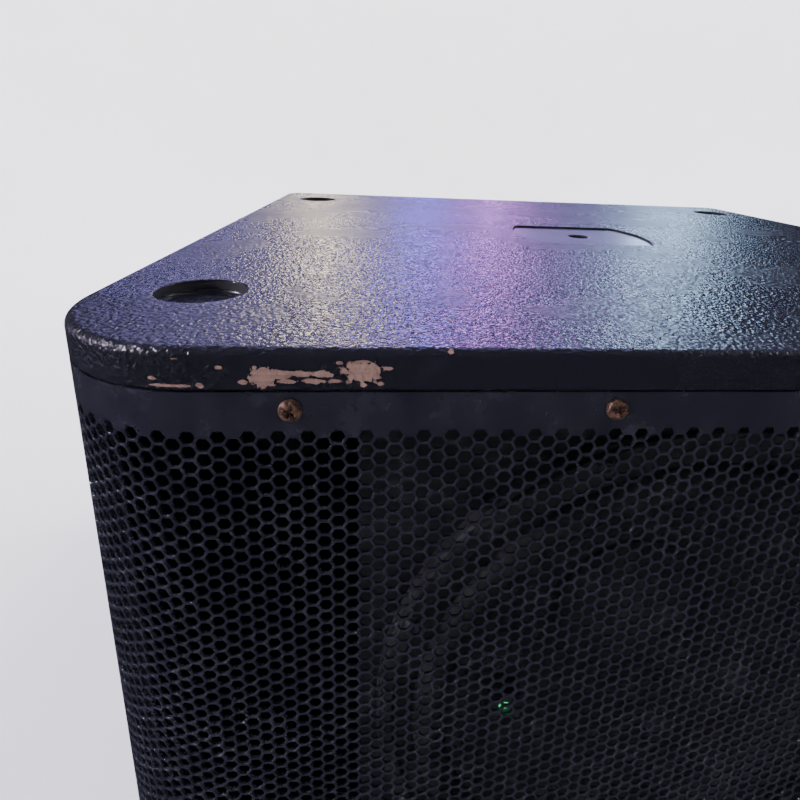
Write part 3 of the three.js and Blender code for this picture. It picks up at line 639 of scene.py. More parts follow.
def top_panel():
    """Rounded upper edge, four foot cups, the pole plate's pocket and its socket hole."""
    shell = Shell()
    low = TOP_LOW.z
    bottom, top = shell.wall(cabinet_outline, edges(low, TOP, mm(0.8), TOP_ROUND, 6))
    cups = [foot_cup(shell, *middle(foot)[:2]) for foot in FEET]
    pocket_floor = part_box("pole_plate")[0].z - GAP
    lip = POCKET_LIP
    path = [(GAP, pocket_floor), (GAP, TOP - lip), (GAP + lip * 0.3, TOP - lip * 0.3), (GAP + lip, TOP)]
    base, mouth = shell.wall(plate_outline, path, kind=1)
    bore = circle(SOCKET_BORE, 64, *middle("pole_plate")[:2])
    above, below = shell.ring(bore, pocket_floor), shell.ring(bore, low)
    shell.bridge(above, below, kind=1)
    shell.cap(base, above, kind=1)
    shell.cap(top, *cups, mouth)
    shell.cap(bottom, below, kind=1)
    return shell


piece("painted_top", top_panel(), [CHIPPED_PAINT, SMOOTH_PAINT, PLATE_COAT], ["top_panel"])

bottom = Shell()
bottom.block(cabinet_outline, edges(BOTTOM_LOW.z, BOTTOM_HIGH.z, TOP_ROUND, mm(0.8), 6))
piece("painted_bottom", bottom, PAINT, ["bottom_panel"])

GRILLE_LOW, GRILLE_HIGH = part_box("grille")
HANDLE_RIM = mm(12)
HANDLE_CORNER = mm(16)
HANDLE_LIP = mm(3)


def side_outline(sideways):
    """A side in plan: rounded at the back, stepped in at the front under the grille."""
    inner = sideways * (HALF - PLY)
    outer = sideways * HALF
    lap = sideways * (HALF - mm(6))
    rear = arc(inner, BACK - REAR_RADIUS, REAR_RADIUS, 90, 90 - 90 * sideways, 16)
    step = GRILLE_HIGH.y + GAP
    return rear + [(outer, step), (lap, step), (lap, BAFFLE_FRONT), (inner, BAFFLE_FRONT)]


def handle_outline(side, grow):
    """The handle's opening in a side, in (y, z), made larger by grow."""
    centre, half = middle(f"{side}_handle_dish"), half_size(f"{side}_handle_dish")
    edge = grow - HANDLE_RIM
    return rounded_rectangle(half.y + edge, half.z + edge, HANDLE_CORNER + grow, centre.y, centre.z, 8)


for side, sideways in SIDES:
    panel = Shell()
    panel.prism(side_outline(sideways), INSIDE_LOW, INSIDE_HIGH)
    recesses = []
    for grow, deep in ((HANDLE_RIM + GAP, HALF - HANDLE_LIP - GAP), (GAP, HALF - 2 * PLY)):
        recess = Shell(side_view)
        recess.prism(handle_outline(side, grow), sideways * deep, sideways * (HALF + PLY))
        recesses.append(recess)
    made = add(f"painted_{side}_side", mesh_of(f"painted_{side}_side", panel))
    cut(made, *recesses)
    made.data.materials.clear()
    smooth_to(made.data, 30)
    soften(made, mm(0.7))
    place(made, [PAINT], [f"{side}_side_panel"])

# CAD nodes that keep their shape: the finish, and how far their edges are rounded, in millimetres.
for node, finish, width in (
    ("rear_panel", PAINT, 0.8), ("baffle", SMOOTH_PAINT, 0.8), ("left_port_wall", SMOOTH_PAINT, 0.8),
    ("right_port_wall", SMOOTH_PAINT, 0.8), ("port_brace", PLYWOOD, 0.6),
    ("top_grille_batten", SMOOTH_PAINT, 0.4), ("bottom_grille_batten", SMOOTH_PAINT, 0.4),
    ("power_light_holder", PLASTIC, 0.6), ("woofer_terminals", PLASTIC, 0.8),
    ("woofer_lead", JACKET, 0), ("amp_tray", ALUMINIUM, 0.35), ("heatsink", ALUMINIUM, 0.4),
    ("amp_cover", ZINC, 0.8), ("amp_board", BOARD, 0.15), ("input_board", BOARD, 0.15),
    ("power_supply_board", BOARD, 0.15), ("transformer", COPPER, 4), ("mains_inlet", PLASTIC, 0.6),
    ("power_switch_housing", PLASTIC, 0.5), ("power_rocker", PLASTIC, 0.5), ("input_latch", ZINC, 0.3),
):
    dress(node, finish, mm(width))

# ---- Grille -------------------------------------------------------------------------------

PITCH = mm(7.1)
HOLE_SHARE = 0.82  # flat to flat, of the pitch
SHEET = mm(1.5)
EDGE_ROUND = mm(0.28)
COLUMN = PITCH * math.sqrt(3) / 2
CELL = PITCH / math.sqrt(3)  # side of a lattice cell
FIRST_COLUMN = mm(134.1) - HALF  # x of a column whose first hole is a high one
FIRST_ROW = TOP - mm(39.6)
ROWS = 61
SIDE_MARGIN = mm(6)
SIDE_RUN = GRILLE_HIGH.y - (FRONT + FRONT_RADIUS)
TURN_RUN = FRONT_RADIUS * math.pi / 2
HALF_RUN = SIDE_RUN + TURN_RUN + HALF - FRONT_RADIUS


def on_sheet(run, depth):
    """(x, y) of a point that far along the bent sheet, and that deep behind its face."""
    side = -1 if run < HALF_RUN else 1
    from_end = run if run < HALF_RUN else 2 * HALF_RUN - run
    if from_end < SIDE_RUN:
        return (side * (HALF - depth), GRILLE_HIGH.y - from_end)
    if from_end >= SIDE_RUN + TURN_RUN:
        return (run - HALF_RUN, FRONT + depth)
    angle = (from_end - SIDE_RUN) / FRONT_RADIUS
    radius = FRONT_RADIUS - depth
    centre = HALF - FRONT_RADIUS
    x = side * (centre + radius * math.cos(angle))
    return (x, FRONT + FRONT_RADIUS - radius * math.sin(angle))


class Sheet(Shell):
    """A part of the perforated sheet, with its corners shared by place and depth."""

    def __init__(self):
        super().__init__()
        self.index = {}

    def corner(self, run, z, depth):
        key = (round(run * 1e6), round(z * 1e6), round(depth * 1e6))
        if key not in self.index:
            self.index[key] = len(self.points)
            self.points.append((*on_sheet(run, depth), z))
        return self.index[key]

    def corners(self, line, depth):
        return [self.corner(run, z, depth) for run, z in line]

    def strip(self, first, second):
        """Faces between two open lists of corners."""
        for i in range(len(first) - 1):
            self.face((first[i], first[i + 1], second[i + 1], second[i]))

    def cell(self, run, z):
        """One hexagonal cell of the lattice with its hole, edges rounded at the front."""
        hole = CELL * HOLE_SHARE
        soft = EDGE_ROUND * 0.3
        steps = (
            (CELL, 0), (hole + EDGE_ROUND, 0), (hole + soft, soft), (hole, EDGE_ROUND),
            (hole, SHEET), (CELL, SHEET),
        )
        self.bridges([self.corners(circle(radius, 6, run, z), depth) for radius, depth in steps])

    def band(self, line, to_line):
        """Front and back faces between two open lines of (run, z), and the edge along to_line."""
        for depth in (0, SHEET):
            self.strip(self.corners(line, depth), self.corners(to_line, depth))
        self.strip(self.corners(to_line, 0), self.corners(to_line, SHEET))

    def close(self):
        """Walls down to the back along the front's open edges, where two parts meet."""
        uses = {}
        for face in self.faces:
            for pair in zip(face, face[1:] + face[:1]):
                edge = tuple(sorted(pair))
                uses[edge] = uses.get(edge, 0) + 1
        keys = list(self.index)
        for first, second in sorted(edge for edge, count in uses.items() if count == 1):
            if keys[first][2] == keys[second][2] == 0:
                behind = [self.index[(*keys[at][:2], round(SHEET * 1e6))] for at in (second, first)]
                self.face((first, second, *behind))


def run_of_column(column):
    return HALF_RUN + FIRST_COLUMN + column * COLUMN


def top_of_column(column):
    return FIRST_ROW - (PITCH / 2 if column % 2 else 0)


def bottom_of_column(column):
    return top_of_column(column) - (ROWS - 1) * PITCH


def lattice_edge(columns, level_of_column, up, is_last):
    """The zigzag line along the lattice's top (up 1) or bottom (up -1) edge."""
    line = []
    for column in (*columns, columns[-1] + 1):
        run, z = run_of_column(column), level_of_column(column) + up * PITCH / 2
        line += [(run - CELL / 2, z), (run + CELL / 2, z)]
    return line[:-2] if is_last else line[:-1]


def grille_part(columns, is_first, is_last):
    sheet = Sheet()
    for column in columns:
        for row in range(ROWS):
            sheet.cell(run_of_column(column), top_of_column(column) - row * PITCH)
    for level_of_column, up, edge in (
        (top_of_column, 1, GRILLE_HIGH.z), (bottom_of_column, -1, GRILLE_LOW.z),
    ):
        line = lattice_edge(columns, level_of_column, up, is_last)
        sheet.band(line, [(run, edge) for run, z in line])
    for is_end, side, column, end_run in (
        (is_first, -1, columns[0], 0.0), (is_last, 1, columns[-1], 2 * HALF_RUN),
    ):
        if not is_end:
            continue
        run = run_of_column(column)
        inner = run + side * CELL / 2
        line = [(inner, GRILLE_HIGH.z)]
        for row in range(ROWS):
            z = top_of_column(column) - row * PITCH
            line += [(inner, z + PITCH / 2), (run + side * CELL, z)]
        line += [(inner, bottom_of_column(column) - PITCH / 2), (inner, GRILLE_LOW.z)]
        sheet.band(line, [(end_run, z) for _, z in line])
    sheet.close()
    return sheet


first_column = -int((run_of_column(0) - SIDE_MARGIN) / COLUMN)
last_column = int((2 * HALF_RUN - SIDE_MARGIN - run_of_column(0)) / COLUMN)
column_count = last_column - first_column + 1
for number, part in enumerate(("left", "middle", "right")):
    start = first_column + column_count * number // 3
    end = first_column + column_count * (number + 1) // 3
    sheet = grille_part(range(start, end), number == 0, number == 2)
    place(add(f"grille_mesh_{part}", mesh_of(f"grille_mesh_{part}", sheet, 62)), [POWDER], ["grille"])

# ---- Grille screws ------------------------------------------------------------------------


def screw_head(name, radius, height):
    """A pan head with a cross recess, facing -Y, its underside at the origin."""
    shell = Shell(front_view)
    rise = [(1.0, 0.0), (1.0, 0.34), (0.985, 0.46), (0.93, 0.62), (0.82, 0.77), (0.64, 0.89), (0.4, 0.97)]
    shell.turn([(0, 0)] + [(radius * r, -height * h) for r, h in rise] + [(0, -height)], sides=48)
    made = add(name, mesh_of(name, shell, 40))
    arms = []
    for long_u, long_v in ((True, False), (False, True)):
        arm = Shell(front_view)
        rings = []
        for long, short, corner, level in ((0.56, 0.13, 0.06, 1.1), (0.22, 0.08, 0.04, 0.38)):
            half_u = radius * (long if long_u else short)
            half_v = radius * (long if long_v else short)
            outline = rounded_rectangle(half_u, half_v, radius * corner, steps=2)
            rings.append(arm.ring(outline, -height * level))
        arm.bar(rings)
        arms.append(arm)
    cut(made, *arms)
    made.data.materials.clear()
    smooth_to(made.data, 32)
    soften(made, radius * 0.025, 1, 32)
    settle(made)
    made.data.materials.clear()
    made.data.materials.append(SCREW)
    return made


grille_screws = sorted(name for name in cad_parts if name.startswith("grille_screw"))
pattern = screw_head("pattern", half_size(grille_screws[0]).x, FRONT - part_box(grille_screws[0])[0].y)
rng = np.random.default_rng(11)
for node in grille_screws:
    twin = add(node.replace("grille_screw", "pan_head"), pattern.data)
    centre = middle(node)
    twin.location = (centre.x, FRONT, centre.z)
    twin.rotation_euler = (0, rng.uniform(0, math.pi), 0)
    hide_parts(node)
    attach(twin, "cabinet")
bpy.data.objects.remove(pattern)

# ---- Pole mount ---------------------------------------------------------------------------

PLATE_LOW, PLATE_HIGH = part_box("pole_plate")
PLATE = middle("pole_plate")
THREAD_RADIUS = mm(10)
THREAD_PITCH = mm(2.5)
THREAD_DEPTH = mm(1.3)
THREAD_LEAD_IN = mm(1.2)


def pole_plate():
    shell = Shell()
    path = [(-inset, level) for inset, level in edges(PLATE_LOW.z, PLATE_HIGH.z, mm(0.2), mm(0.5), 3)]
    bottom, top = shell.wall(plate_outline, path)
    low_hole, high_hole = shell.wall(
        lambda grow: circle(THREAD_RADIUS + grow, 64, PLATE.x, PLATE.y),
        [(0, PLATE_LOW.z), (0, PLATE_HIGH.z - THREAD_LEAD_IN), (THREAD_LEAD_IN, PLATE_HIGH.z)],
    )
    shell.cap(bottom, low_hole)
    shell.cap(top, high_hole)
    return shell


def socket_profile():
    """A tube closed at its foot, with thread ridges down its bore."""
    low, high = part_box("pole_socket")
    outer, bore = half_size("pole_socket").x, THREAD_RADIUS
    floor = low.z + mm(6)
    soft = mm(1)
    profile = [(0, low.z), (outer - soft, low.z), (outer, low.z + soft), (outer, high.z - soft)]
    profile += [(outer - soft, high.z), (bore, high.z)]
    level = high.z
    while level - THREAD_PITCH > floor:
        profile += [(bore - THREAD_DEPTH, level - THREAD_PITCH / 2), (bore, level - THREAD_PITCH)]
        level -= THREAD_PITCH
    return profile + [(bore, floor), (0, floor)]


piece("pole_plate_coated", pole_plate(), PLATE_COAT, ["pole_plate"])
turned(
    "threaded_socket", socket_profile(), PLATE[:2], ZINC, ["pole_socket"], sides=64, sharp=30,
    view=plan_view,
)

# ---- Feet ---------------------------------------------------------------------------------

FOOT_WELL = mm(5)


def foot_profile(foot):
    """A tapering foot with a rounded rim, a groove round its sole and a well for its screw."""
    base, top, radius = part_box(foot)[0].z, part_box(foot)[1].z, half_size(foot).x
    taper, soft = mm(1.5), mm(1.4)
    rim = radius - taper
    profile = [(0, top), (radius, top), (rim + soft * 0.2, base + soft)]
    profile += [(rim - soft * (1 - math.cos(t)), base + soft * (1 - math.sin(t)))
                for t in quarter_turn()[1:]]
    profile += from_level(base, [(13.5, 0), (13, 0.6), (12.2, 0.6), (11.8, 0), (9, 0), (8.2, 0.8)])
    return profile + [(mm(8), base + FOOT_WELL), (0, base + FOOT_WELL)]


def foot_screw(foot):
    """A washer and a domed head in the well of a foot."""
    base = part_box(foot)[0].z + FOOT_WELL
    washer = [(0, 0), (7.6, 0), (7.6, -0.9), (7.3, -1.2), (0, -1.2)]
    head = [(0, 0), (4.6, 0), (4.6, -0.9), (4.0, -1.9), (2.6, -2.6), (2.1, -2.6), (1.8, -0.8), (0, -0.8)]
    shell = Shell()
    for level, profile in ((base, washer), (base - mm(1.2), head)):
        shell.turn(from_level(level, profile), *middle(foot)[:2], 48)
    return shell


for foot in FEET:
    spot = middle(foot)[:2]
    turned(f"{foot}_rubber", foot_profile(foot), spot, RUBBER, [foot], sides=72, view=plan_view)
    piece(f"{foot}_screw", foot_screw(foot), ZINC)

# ---- Side handles -------------------------------------------------------------------------

HANDLE_WALL = mm(2.5)


def handle_dish(side, sideways):
    """A moulded dish: flange let into the side, drafted walls, a rounded floor."""
    depth = 2 * half_size(f"{side}_handle_dish").x
    soft, fillet, draft, slope = mm(0.8), mm(9), mm(3), mm(9)

    def inward(path):
        """Steps of (grow, depth below the side's face) as steps of (grow, level)."""
        return [(grow, sideways * (HALF - deep)) for grow, deep in path]

    def outline(grow):
        return handle_outline(side, grow)

    floor_depth = depth - HANDLE_WALL
    path = [(HANDLE_RIM, HANDLE_LIP), (HANDLE_RIM, soft), (HANDLE_RIM - soft * 0.3, soft * 0.3)]
    path += [(HANDLE_RIM - soft, 0), (mm(3), 0), (mm(1.6), mm(0.3)), (mm(0.6), mm(1.0))]
    path += [(0, mm(2.2)), (-HANDLE_WALL, slope)]
    path += [(-HANDLE_WALL - draft - fillet * (1 - math.cos(t)), floor_depth - fillet * (1 - math.sin(t)))
             for t in quarter_turn()]
    shell = Shell(side_view)
    outer_rim, floor = shell.wall(outline, inward(path))
    shell.cap(floor)
    back = [(0, HANDLE_LIP), (0, slope), (-draft, floor_depth - fillet), (-draft - fillet * 0.7, depth)]
    inner_rim, end = shell.wall(outline, inward(back))
    shell.cap(end)
    shell.bridge(outer_rim, inner_rim)
    return shell


def grip_profile(node):
    """A round bar with moulded grip rings and a collar at each end."""
    low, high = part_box(node)
    radius = half_size(node).z
    ring_count, ring_pitch, collar = 15, mm(8), mm(10)
    deep, shallow = radius - mm(0.9), radius - mm(0.2)
    profile = [(0, low.y), (radius, low.y), (radius, low.y + collar)]
    start = middle(node).y - ring_count * ring_pitch / 2
    for ring in range(ring_count):
        base = start + ring * ring_pitch
        end = base + ring_pitch
        profile += [(deep, base), (shallow, base + mm(0.8)), (radius, base + mm(2.4))]
        profile += [(radius, end - mm(2.4)), (shallow, end - mm(0.8))]
    profile += [(deep, start + ring_count * ring_pitch)]
    return profile + [(radius, high.y - collar), (radius, high.y), (0, high.y)]


def screws(view, spots, face, facing, radius):
    """Flat heads level with a face that looks along the view's level axis, or against it (-1)."""
    shell = Shell(view)
    steps = ((1.6, -1.6), (0, -0.3), (0.15, 0.05))
    path = [(mm(inset), face + facing * mm(rise)) for inset, rise in steps]
    for spot in spots:
        hex_head(shell, spot, radius, path, radius * 0.5, face - facing * mm(1.1))
    return shell


for side, sideways in SIDES:
    dish, grip = f"{side}_handle_dish", f"{side}_handle_grip"
    piece(f"{side}_handle_cup", handle_dish(side, sideways), PLASTIC, [dish])
    spot = (middle(grip).x, middle(grip).z)
    turned(f"{side}_handle_bar", grip_profile(grip), spot, RUBBER, [grip], sharp=50)
    low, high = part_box(dish)
    inset = mm(6)
    spots = [(y, z) for y in (low.y + 3 * inset, middle(dish).y, high.y - 3 * inset)
             for z in (low.z + inset, high.z - inset)]
    heads = screws(side_view, spots, sideways * (HALF - mm(0.05)), sideways, mm(3.4))
    piece(f"{side}_handle_screws", heads, ZINC)

# ---- Power light --------------------------------------------------------------------------

LAMP_DOME = mm(1.6)
lamp_low, lamp_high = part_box("power_light_lens")
lamp_middle = middle("power_light_lens")
lamp_radius = half_size("power_light_lens").z
lamp_profile = [(0, lamp_high.y), (lamp_radius, lamp_high.y), (lamp_radius, lamp_low.y + LAMP_DOME)]
lamp_profile += [(lamp_radius * math.cos(t), lamp_low.y + LAMP_DOME * (1 - math.sin(t)))
                 for t in (0.3, 0.6, 0.9, 1.2)]
lamp_profile += [(0, lamp_low.y)]
turned("green_lamp", lamp_profile, (lamp_middle.x, lamp_middle.z), GREEN, ["power_light_lens"])

# ---- Woofer, in millimetres from its axis and from the front of the baffle ----------------

WOOFER = (0.0, INSIDE_MIDDLE)
WOOFER_CENTRE = Vector((WOOFER[0], BAFFLE_FRONT, WOOFER[1]))
BOLTS = 8
BOLT_CIRCLE = 188.5
ARMS = 6
WEDGES = 16


def woofer_piece(name, profile, finish, node, body="cabinet", sharp=35):
    turned(name, from_level(BAFFLE_FRONT, profile), WOOFER, finish, [node], body, 128, sharp)


def radii(node):
    """Largest radius and the front and back depths of a woofer node, in millimetres."""
    low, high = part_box(node)
    return (high.x - low.x) * 500, (low.y - BAFFLE_FRONT) * 1000, (high.y - BAFFLE_FRONT) * 1000


def outwards(turn):
    return Vector((math.cos(turn), 0, math.sin(turn)))


def basket():
    """Cast frame: a flange, a tapering ring, six ribbed arms and the seat for the magnet."""
    outer, front, back = radii("woofer_basket")
    flange = [
        (outer, front + 2), (outer, -0.3), (177, -0.3), (173, 20), (170, 26), (166, 26), (168, 14),
        (172, front + 4), (172, front), (outer - 2, front),
    ]
    seat = [
        (114, back - 8), (114, back), (62, back), (62, back - 7), (98, back - 7), (98, 99), (110, 99),
        (112, 101),
    ]
    arm_steps = [(170.5, 22, 21), (160, 42, 17), (140, 72, 15), (118, 98, 16), (112, 112, 18)]
    shell = Shell(front_view)
    for profile in (flange, seat):
        shell.turn(from_level(BAFFLE_FRONT, profile), *WOOFER, 128)
    for arm in range(ARMS):
        out = outwards(2 * math.pi * arm / ARMS)
        across = Vector((-out.z, 0, out.x))
        inward = out * -mm(5) + Vector((0, -mm(3), 0))
        rings = []
        for radius, depth, half in arm_steps:
            centre = WOOFER_CENTRE + out * mm(radius) + Vector((0, mm(depth), 0))
            section = [(half, 0), (half, 1), (half - 4, 0.6), (4 - half, 0.6), (-half, 1), (-half, 0)]
            rings.append(shell.loop([tuple(centre + across * mm(u) + inward * w) for u, w in section]))
        shell.bar(rings)
    return shell


def bolt_heads():
    """Cap screws round the flange."""
    shell = Shell(front_view)
    base = BAFFLE_FRONT + mm(radii("woofer_gasket")[1])
    for bolt in range(BOLTS):
        out = outwards(2 * math.pi * (bolt + 0.5) / BOLTS)
        spot = WOOFER_CENTRE + out * mm(BOLT_CIRCLE)
        path = from_level(base, [(0, 0), (0, -4.2), (0.5, -4.8)])
        hex_head(shell, (spot.x, spot.z), mm(4.2), path, mm(2.3), base - mm(2.2))
    return shell


def ring_piece(name, profile, finish):
    """A ring that flexes between the cabinet and the cone in the real woofer, built as separate wedges
    that are not attached to any body.
    """
    steps = 8
    half = math.pi / WEDGES
    for wedge in range(WEDGES):
        shell = Shell(front_view)
        rings = []
        for step in range(steps + 1):
            out = outwards(2 * half * wedge - half + 2 * half * step / steps)
            rings.append(shell.loop([
                tuple(WOOFER_CENTRE + out * mm(radius) + Vector((0, mm(depth), 0)))
                for radius, depth in profile
            ]))
        shell.bar(rings)
        made = add(f"{name}_{wedge + 1}", mesh_of(f"{name}_{wedge + 1}", shell, 50))
        place(made, [finish], [name], body=None)
        out = outwards(2 * half * wedge)
        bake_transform(made)


def surround_profile():
    """A half roll between two flat lips."""
    thick, flat = 1.2, -10.6
    centre, radius = 162.0, 10.0
    over, under = (
        [(u, v - lift) for u, v in arc(centre, flat, reach, 180, 360, 14)]
        for reach, lift in ((radius, thick), (radius - thick, 0))
    )
    return [(144, flat), (144, flat - thick)] + over + [(183.7, flat - thick), (183.7, flat)] + under[::-1]


def spider_profile():
    """Ripples that die out towards both edges."""
    inner, outer, base, half_thick = 51.0, 108.0, 97.0, 0.5
    ripples, height, steps = 5, 1.3, 60
    middle_line = []
    for i in range(steps + 1):
        share = i / steps
        swing = height * math.sin(2 * math.pi * ripples * share) * min(1, 6 * share, 6 * (1 - share))
        middle_line.append((inner + (outer - inner) * share, base + swing))
    front = [(radius, depth - half_thick) for radius, depth in middle_line]
    return front + [(radius, depth + half_thick) for radius, depth in reversed(middle_line)]


def cone_profile():
    """A straight cone with five pressed ribs, thick at its edge and thin at its neck."""
    edge, front, back = radii("cone")
    neck, seat = 51.2, back - 4
    ribs = []
    for share in (0.14, 0.29, 0.44, 0.59, 0.74):
        for offset, rise in ((-0.018, 0.0), (-0.008, -1.0), (0.008, -1.0), (0.018, 0.0)):
            along = share + offset
            ribs.append((neck + (edge - neck) * (1 - along), front + (seat - front) * along + rise))
    rim = [(edge, front + 3), (edge, front + 0.6), (edge - 1, front)]
    return rim + ribs + [(neck, seat), (neck, back), (54, back)]


def cap_profile():
    """A shallow dome of even thickness."""
    rim, seat, rise, thick, steps = 61.0, 57.0, 22.0, 1.2, 24
    sphere = (rim * rim + rise * rise) / (2 * rise)
    back = []
    for i in range(steps + 1):
        radius = rim * i / steps
        back.append((radius, seat - rise + sphere - math.sqrt(sphere * sphere - radius * radius)))
    return [(radius, depth - thick) for radius, depth in back] + back[::-1]


def washer_profile(node, hole):
    """A flat ring with softened outer edges."""
    edge, front, back = radii(node)
    soft = 1.2
    rim = [(0, soft), (soft * 0.3, soft * 0.3), (soft, 0)]
    near = [(edge - inset, front + deep) for inset, deep in reversed(rim)]
    far = [(edge - inset, back - deep) for inset, deep in rim]
    return [(hole, front)] + near + far + [(hole, back)]


piece("cast_basket", basket(), CASTING, ["woofer_basket"])
edge, front, back = radii("woofer_gasket")
woofer_piece(
    "foam_gasket",
    [(edge, front + 1), (edge, back), (184, back), (184, front + 1), (185, front), (edge - 1, front)],
    FOAM, "woofer_gasket",
)
piece("woofer_bolts", bolt_heads(), ZINC)
ring_piece("surround", surround_profile(), RUBBER)
ring_piece("spider", spider_profile(), CLOTH)
woofer_piece("pulp_cone", cone_profile(), PAPER, "cone", "cone_assembly", 60)
woofer_piece("pulp_dust_cap", cap_profile(), PAPER, "dust_cap", "cone_assembly", 60)
edge, front, back = radii("voice_coil")
woofer_piece(
    "wound_voice_coil",
    [(edge - 1.8, front), (edge - 0.8, front), (edge - 0.8, 111), (edge - 0.2, 111), (edge, 111.4),
     (edge, back - 0.4), (edge - 0.2, back), (edge - 1.8, back)],
    COPPER, "voice_coil", "cone_assembly",
)
woofer_piece("steel_top_plate", washer_profile("magnet_top_plate", 52.6), ZINC, "magnet_top_plate")
woofer_piece("ferrite_ring", washer_profile("magnet_ring", 60.0), FERRITE, "magnet_ring")
edge, front, back = radii("magnet_yoke")
woofer_piece(
    "steel_yoke",
    [(8, front + 1), (9, front), (46.4, front), (48.2, front + 1.8), (48.2, back - 11.7),
     (edge, back - 11.7), (edge, back - 3), (edge - 4, back), (14, back), (8, back - 5)],
    ZINC, "magnet_yoke",
)

# ---- The woofer's lead, clipped under the top ---------------------------------------------

smooth_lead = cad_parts["woofer_lead"].modifiers.new("round", "SUBSURF")
smooth_lead.levels = smooth_lead.render_levels = 1


def lead_under_top(y):
    """(x, z) of the middle of the lead where it runs under the top."""
    near = [
        point.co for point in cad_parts["woofer_lead"].data.vertices
        if abs(point.co.y - y) < mm(14) and point.co.z > INSIDE_HIGH - mm(20)
    ]
    across = [point.x for point in near]
    up = [point.z for point in near]
    return (min(across) + max(across)) / 2, (min(up) + max(up)) / 2


def lead_clip(y):
    """A loop round the lead, and a tab screwed to the underside of the top."""
    x, z = lead_under_top(y)
    half_width, loop, thick, soft = mm(5), mm(4.7), mm(1.1), mm(0.4)
    near, far = y - half_width, y + half_width
    tab_z = INSIDE_HIGH - mm(0.7)
    shell = Shell(front_view)
    shell.turn([(loop, near), (loop + thick, near), (loop + thick, far), (loop, far)], x, z, 40)
    shell.block(
        lambda inset: rounded_rectangle(mm(9) - inset, mm(0.6), mm(0.5), x + mm(10), tab_z, 3),
        [(soft, near), (0, near + soft), (0, far - soft), (soft, far)],
    )
    return shell


clip_head = [(0, 0), (3.4, 0), (3.3, -0.7), (2.4, -1.8), (1.2, -2.2), (0.9, -1.2), (0, -1.2)]
for number, y in enumerate((mm(-30), mm(50)), 1):
    piece(f"lead_clip_{number}", lead_clip(y), PLASTIC)
    spot = (lead_under_top(y)[0] + mm(13.5), y)
    head = from_level(INSIDE_HIGH - mm(1.3), clip_head)
    turned(f"lead_clip_screw_{number}", head, spot, ZINC, sides=32, view=plan_view)

# ---- Amplifier ----------------------------------------------------------------------------

SOCKET_FACE = FLOOR + mm(2.3)
CONTACT_CIRCLE = mm(4.2)


def spot_of(node):
    """(x, z) of the middle of a part on the amplifier's panel."""
    return middle(node).x, middle(node).z


def contact_spots(spot):
    """Three places in a triangle."""
    return arc(*spot, CONTACT_CIRCLE, 90, 450, 3)[:-1]


def audio_socket(node, has_pins):
    """A square flange with a round body, and a cup or a ring of a socket in its middle."""
    spot, half = spot_of(node), half_size(node)
    cup_radius, core_radius, body_radius = mm(9.8), mm(7.8), mm(11.7)
    face, cup_floor = SOCKET_FACE, SOCKET_FACE - mm(14)
    soft = mm(0.5)
    lip = [(0, face - soft), (soft * 0.3, face - soft * 0.3), (soft, face)]
    shell = Shell(front_view)

    def round_wall(radius, path):
        return shell.wall(lambda grow: circle(radius + grow, 64, *spot), path)

    back, front = shell.wall(
        lambda inset: rounded_rectangle(half.x - inset, half.z - inset, mm(3), *spot, 6),
        [(0, FLOOR + GAP)] + lip,
    )
    cup_base, cup_mouth = round_wall(cup_radius, [(0, cup_floor)] + lip)
    shell.cap(front, cup_mouth)
    body_top, body_end = round_wall(body_radius, [(0, FLOOR + GAP), (0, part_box(node)[0].y)])
    shell.cap(back, body_top)
    shell.cap(body_end)
    if has_pins:
        shell.cap(cup_base)
        return shell
    core_base, core_face = round_wall(core_radius, [(0, cup_floor), (0, face - soft), (-soft, face)])
    shell.cap(cup_base, core_base)
    holes = [shell.well(circle(mm(1.5), 24, u, v), face, face - mm(9)) for u, v in contact_spots(spot)]
    shell.cap(core_face, *holes)
    return shell


def contacts(node, front, back):
    """Three round contacts in a triangle, with rounded tips."""
    radius = mm(1.2)
    shell = Shell(front_view)
    for u, v in contact_spots(spot_of(node)):
        tip = [(radius, front - radius), (radius * 0.8, front - radius * 0.4)]
        tip += [(radius * 0.4, front - radius * 0.1), (0, front)]
        shell.turn([(0, back), (radius, back)] + tip, u, v, 24)
    return shell


TRAY_LOW, TRAY_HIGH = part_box("amp_tray")
inset = mm(5.7)  # of the screws in the tray's flange
rows = 5
row_step = (TRAY_HIGH.z - TRAY_LOW.z - 2 * inset) / (rows - 1)
spots = [(x, TRAY_LOW.z + inset + row_step * row) for row in range(rows)
         for x in (TRAY_LOW.x + inset, TRAY_HIGH.x - inset)]
piece("amp_panel_screws", screws(front_view, spots, TRAY_HIGH.y, 1, mm(3.2)), ZINC)

input_body = piece("signal_input", audio_socket("input_socket", False), PLASTIC, ["input_socket"])
latch = half_size("input_latch")
latch_slot = Shell(front_view)
latch_outline = rounded_rectangle(latch.x + GAP, latch.z + GAP, mm(0.4), *spot_of("input_latch"), 3)
latch_slot.prism(latch_outline, FLOOR - mm(9), FLOOR + mm(9))
input_body.modifiers.clear()
cut(input_body, latch_slot)
even_shading(input_body)
piece("signal_link", audio_socket("link_socket", True), PLASTIC, ["link_socket"])
piece("input_contacts", contacts("input_socket", FLOOR + mm(0.8), FLOOR - mm(6.6)), ZINC)
piece("link_pins", contacts("link_socket", FLOOR + mm(0.5), FLOOR - mm(11.7)), ZINC)
for name in ("input", "link"):
    low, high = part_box(f"{name}_socket")
    inset = mm(3.4)
    spots = [(low.x + inset, high.z - inset), (high.x - inset, low.z + inset)]
    piece(f"{name}_screws", screws(front_view, spots, SOCKET_FACE, 1, mm(1.9)), ZINC)


def fluted(radius, spot, flutes=12, depth=mm(0.7), steps=8):
    points = []
    for i in range(flutes * steps):
        turn = 2 * math.pi * i / (flutes * steps)
        reach = radius - depth * (0.5 - 0.5 * math.cos(flutes * turn)) ** 2
        points.append((spot[0] + reach * math.cos(turn), spot[1] + reach * math.sin(turn)))
    return points


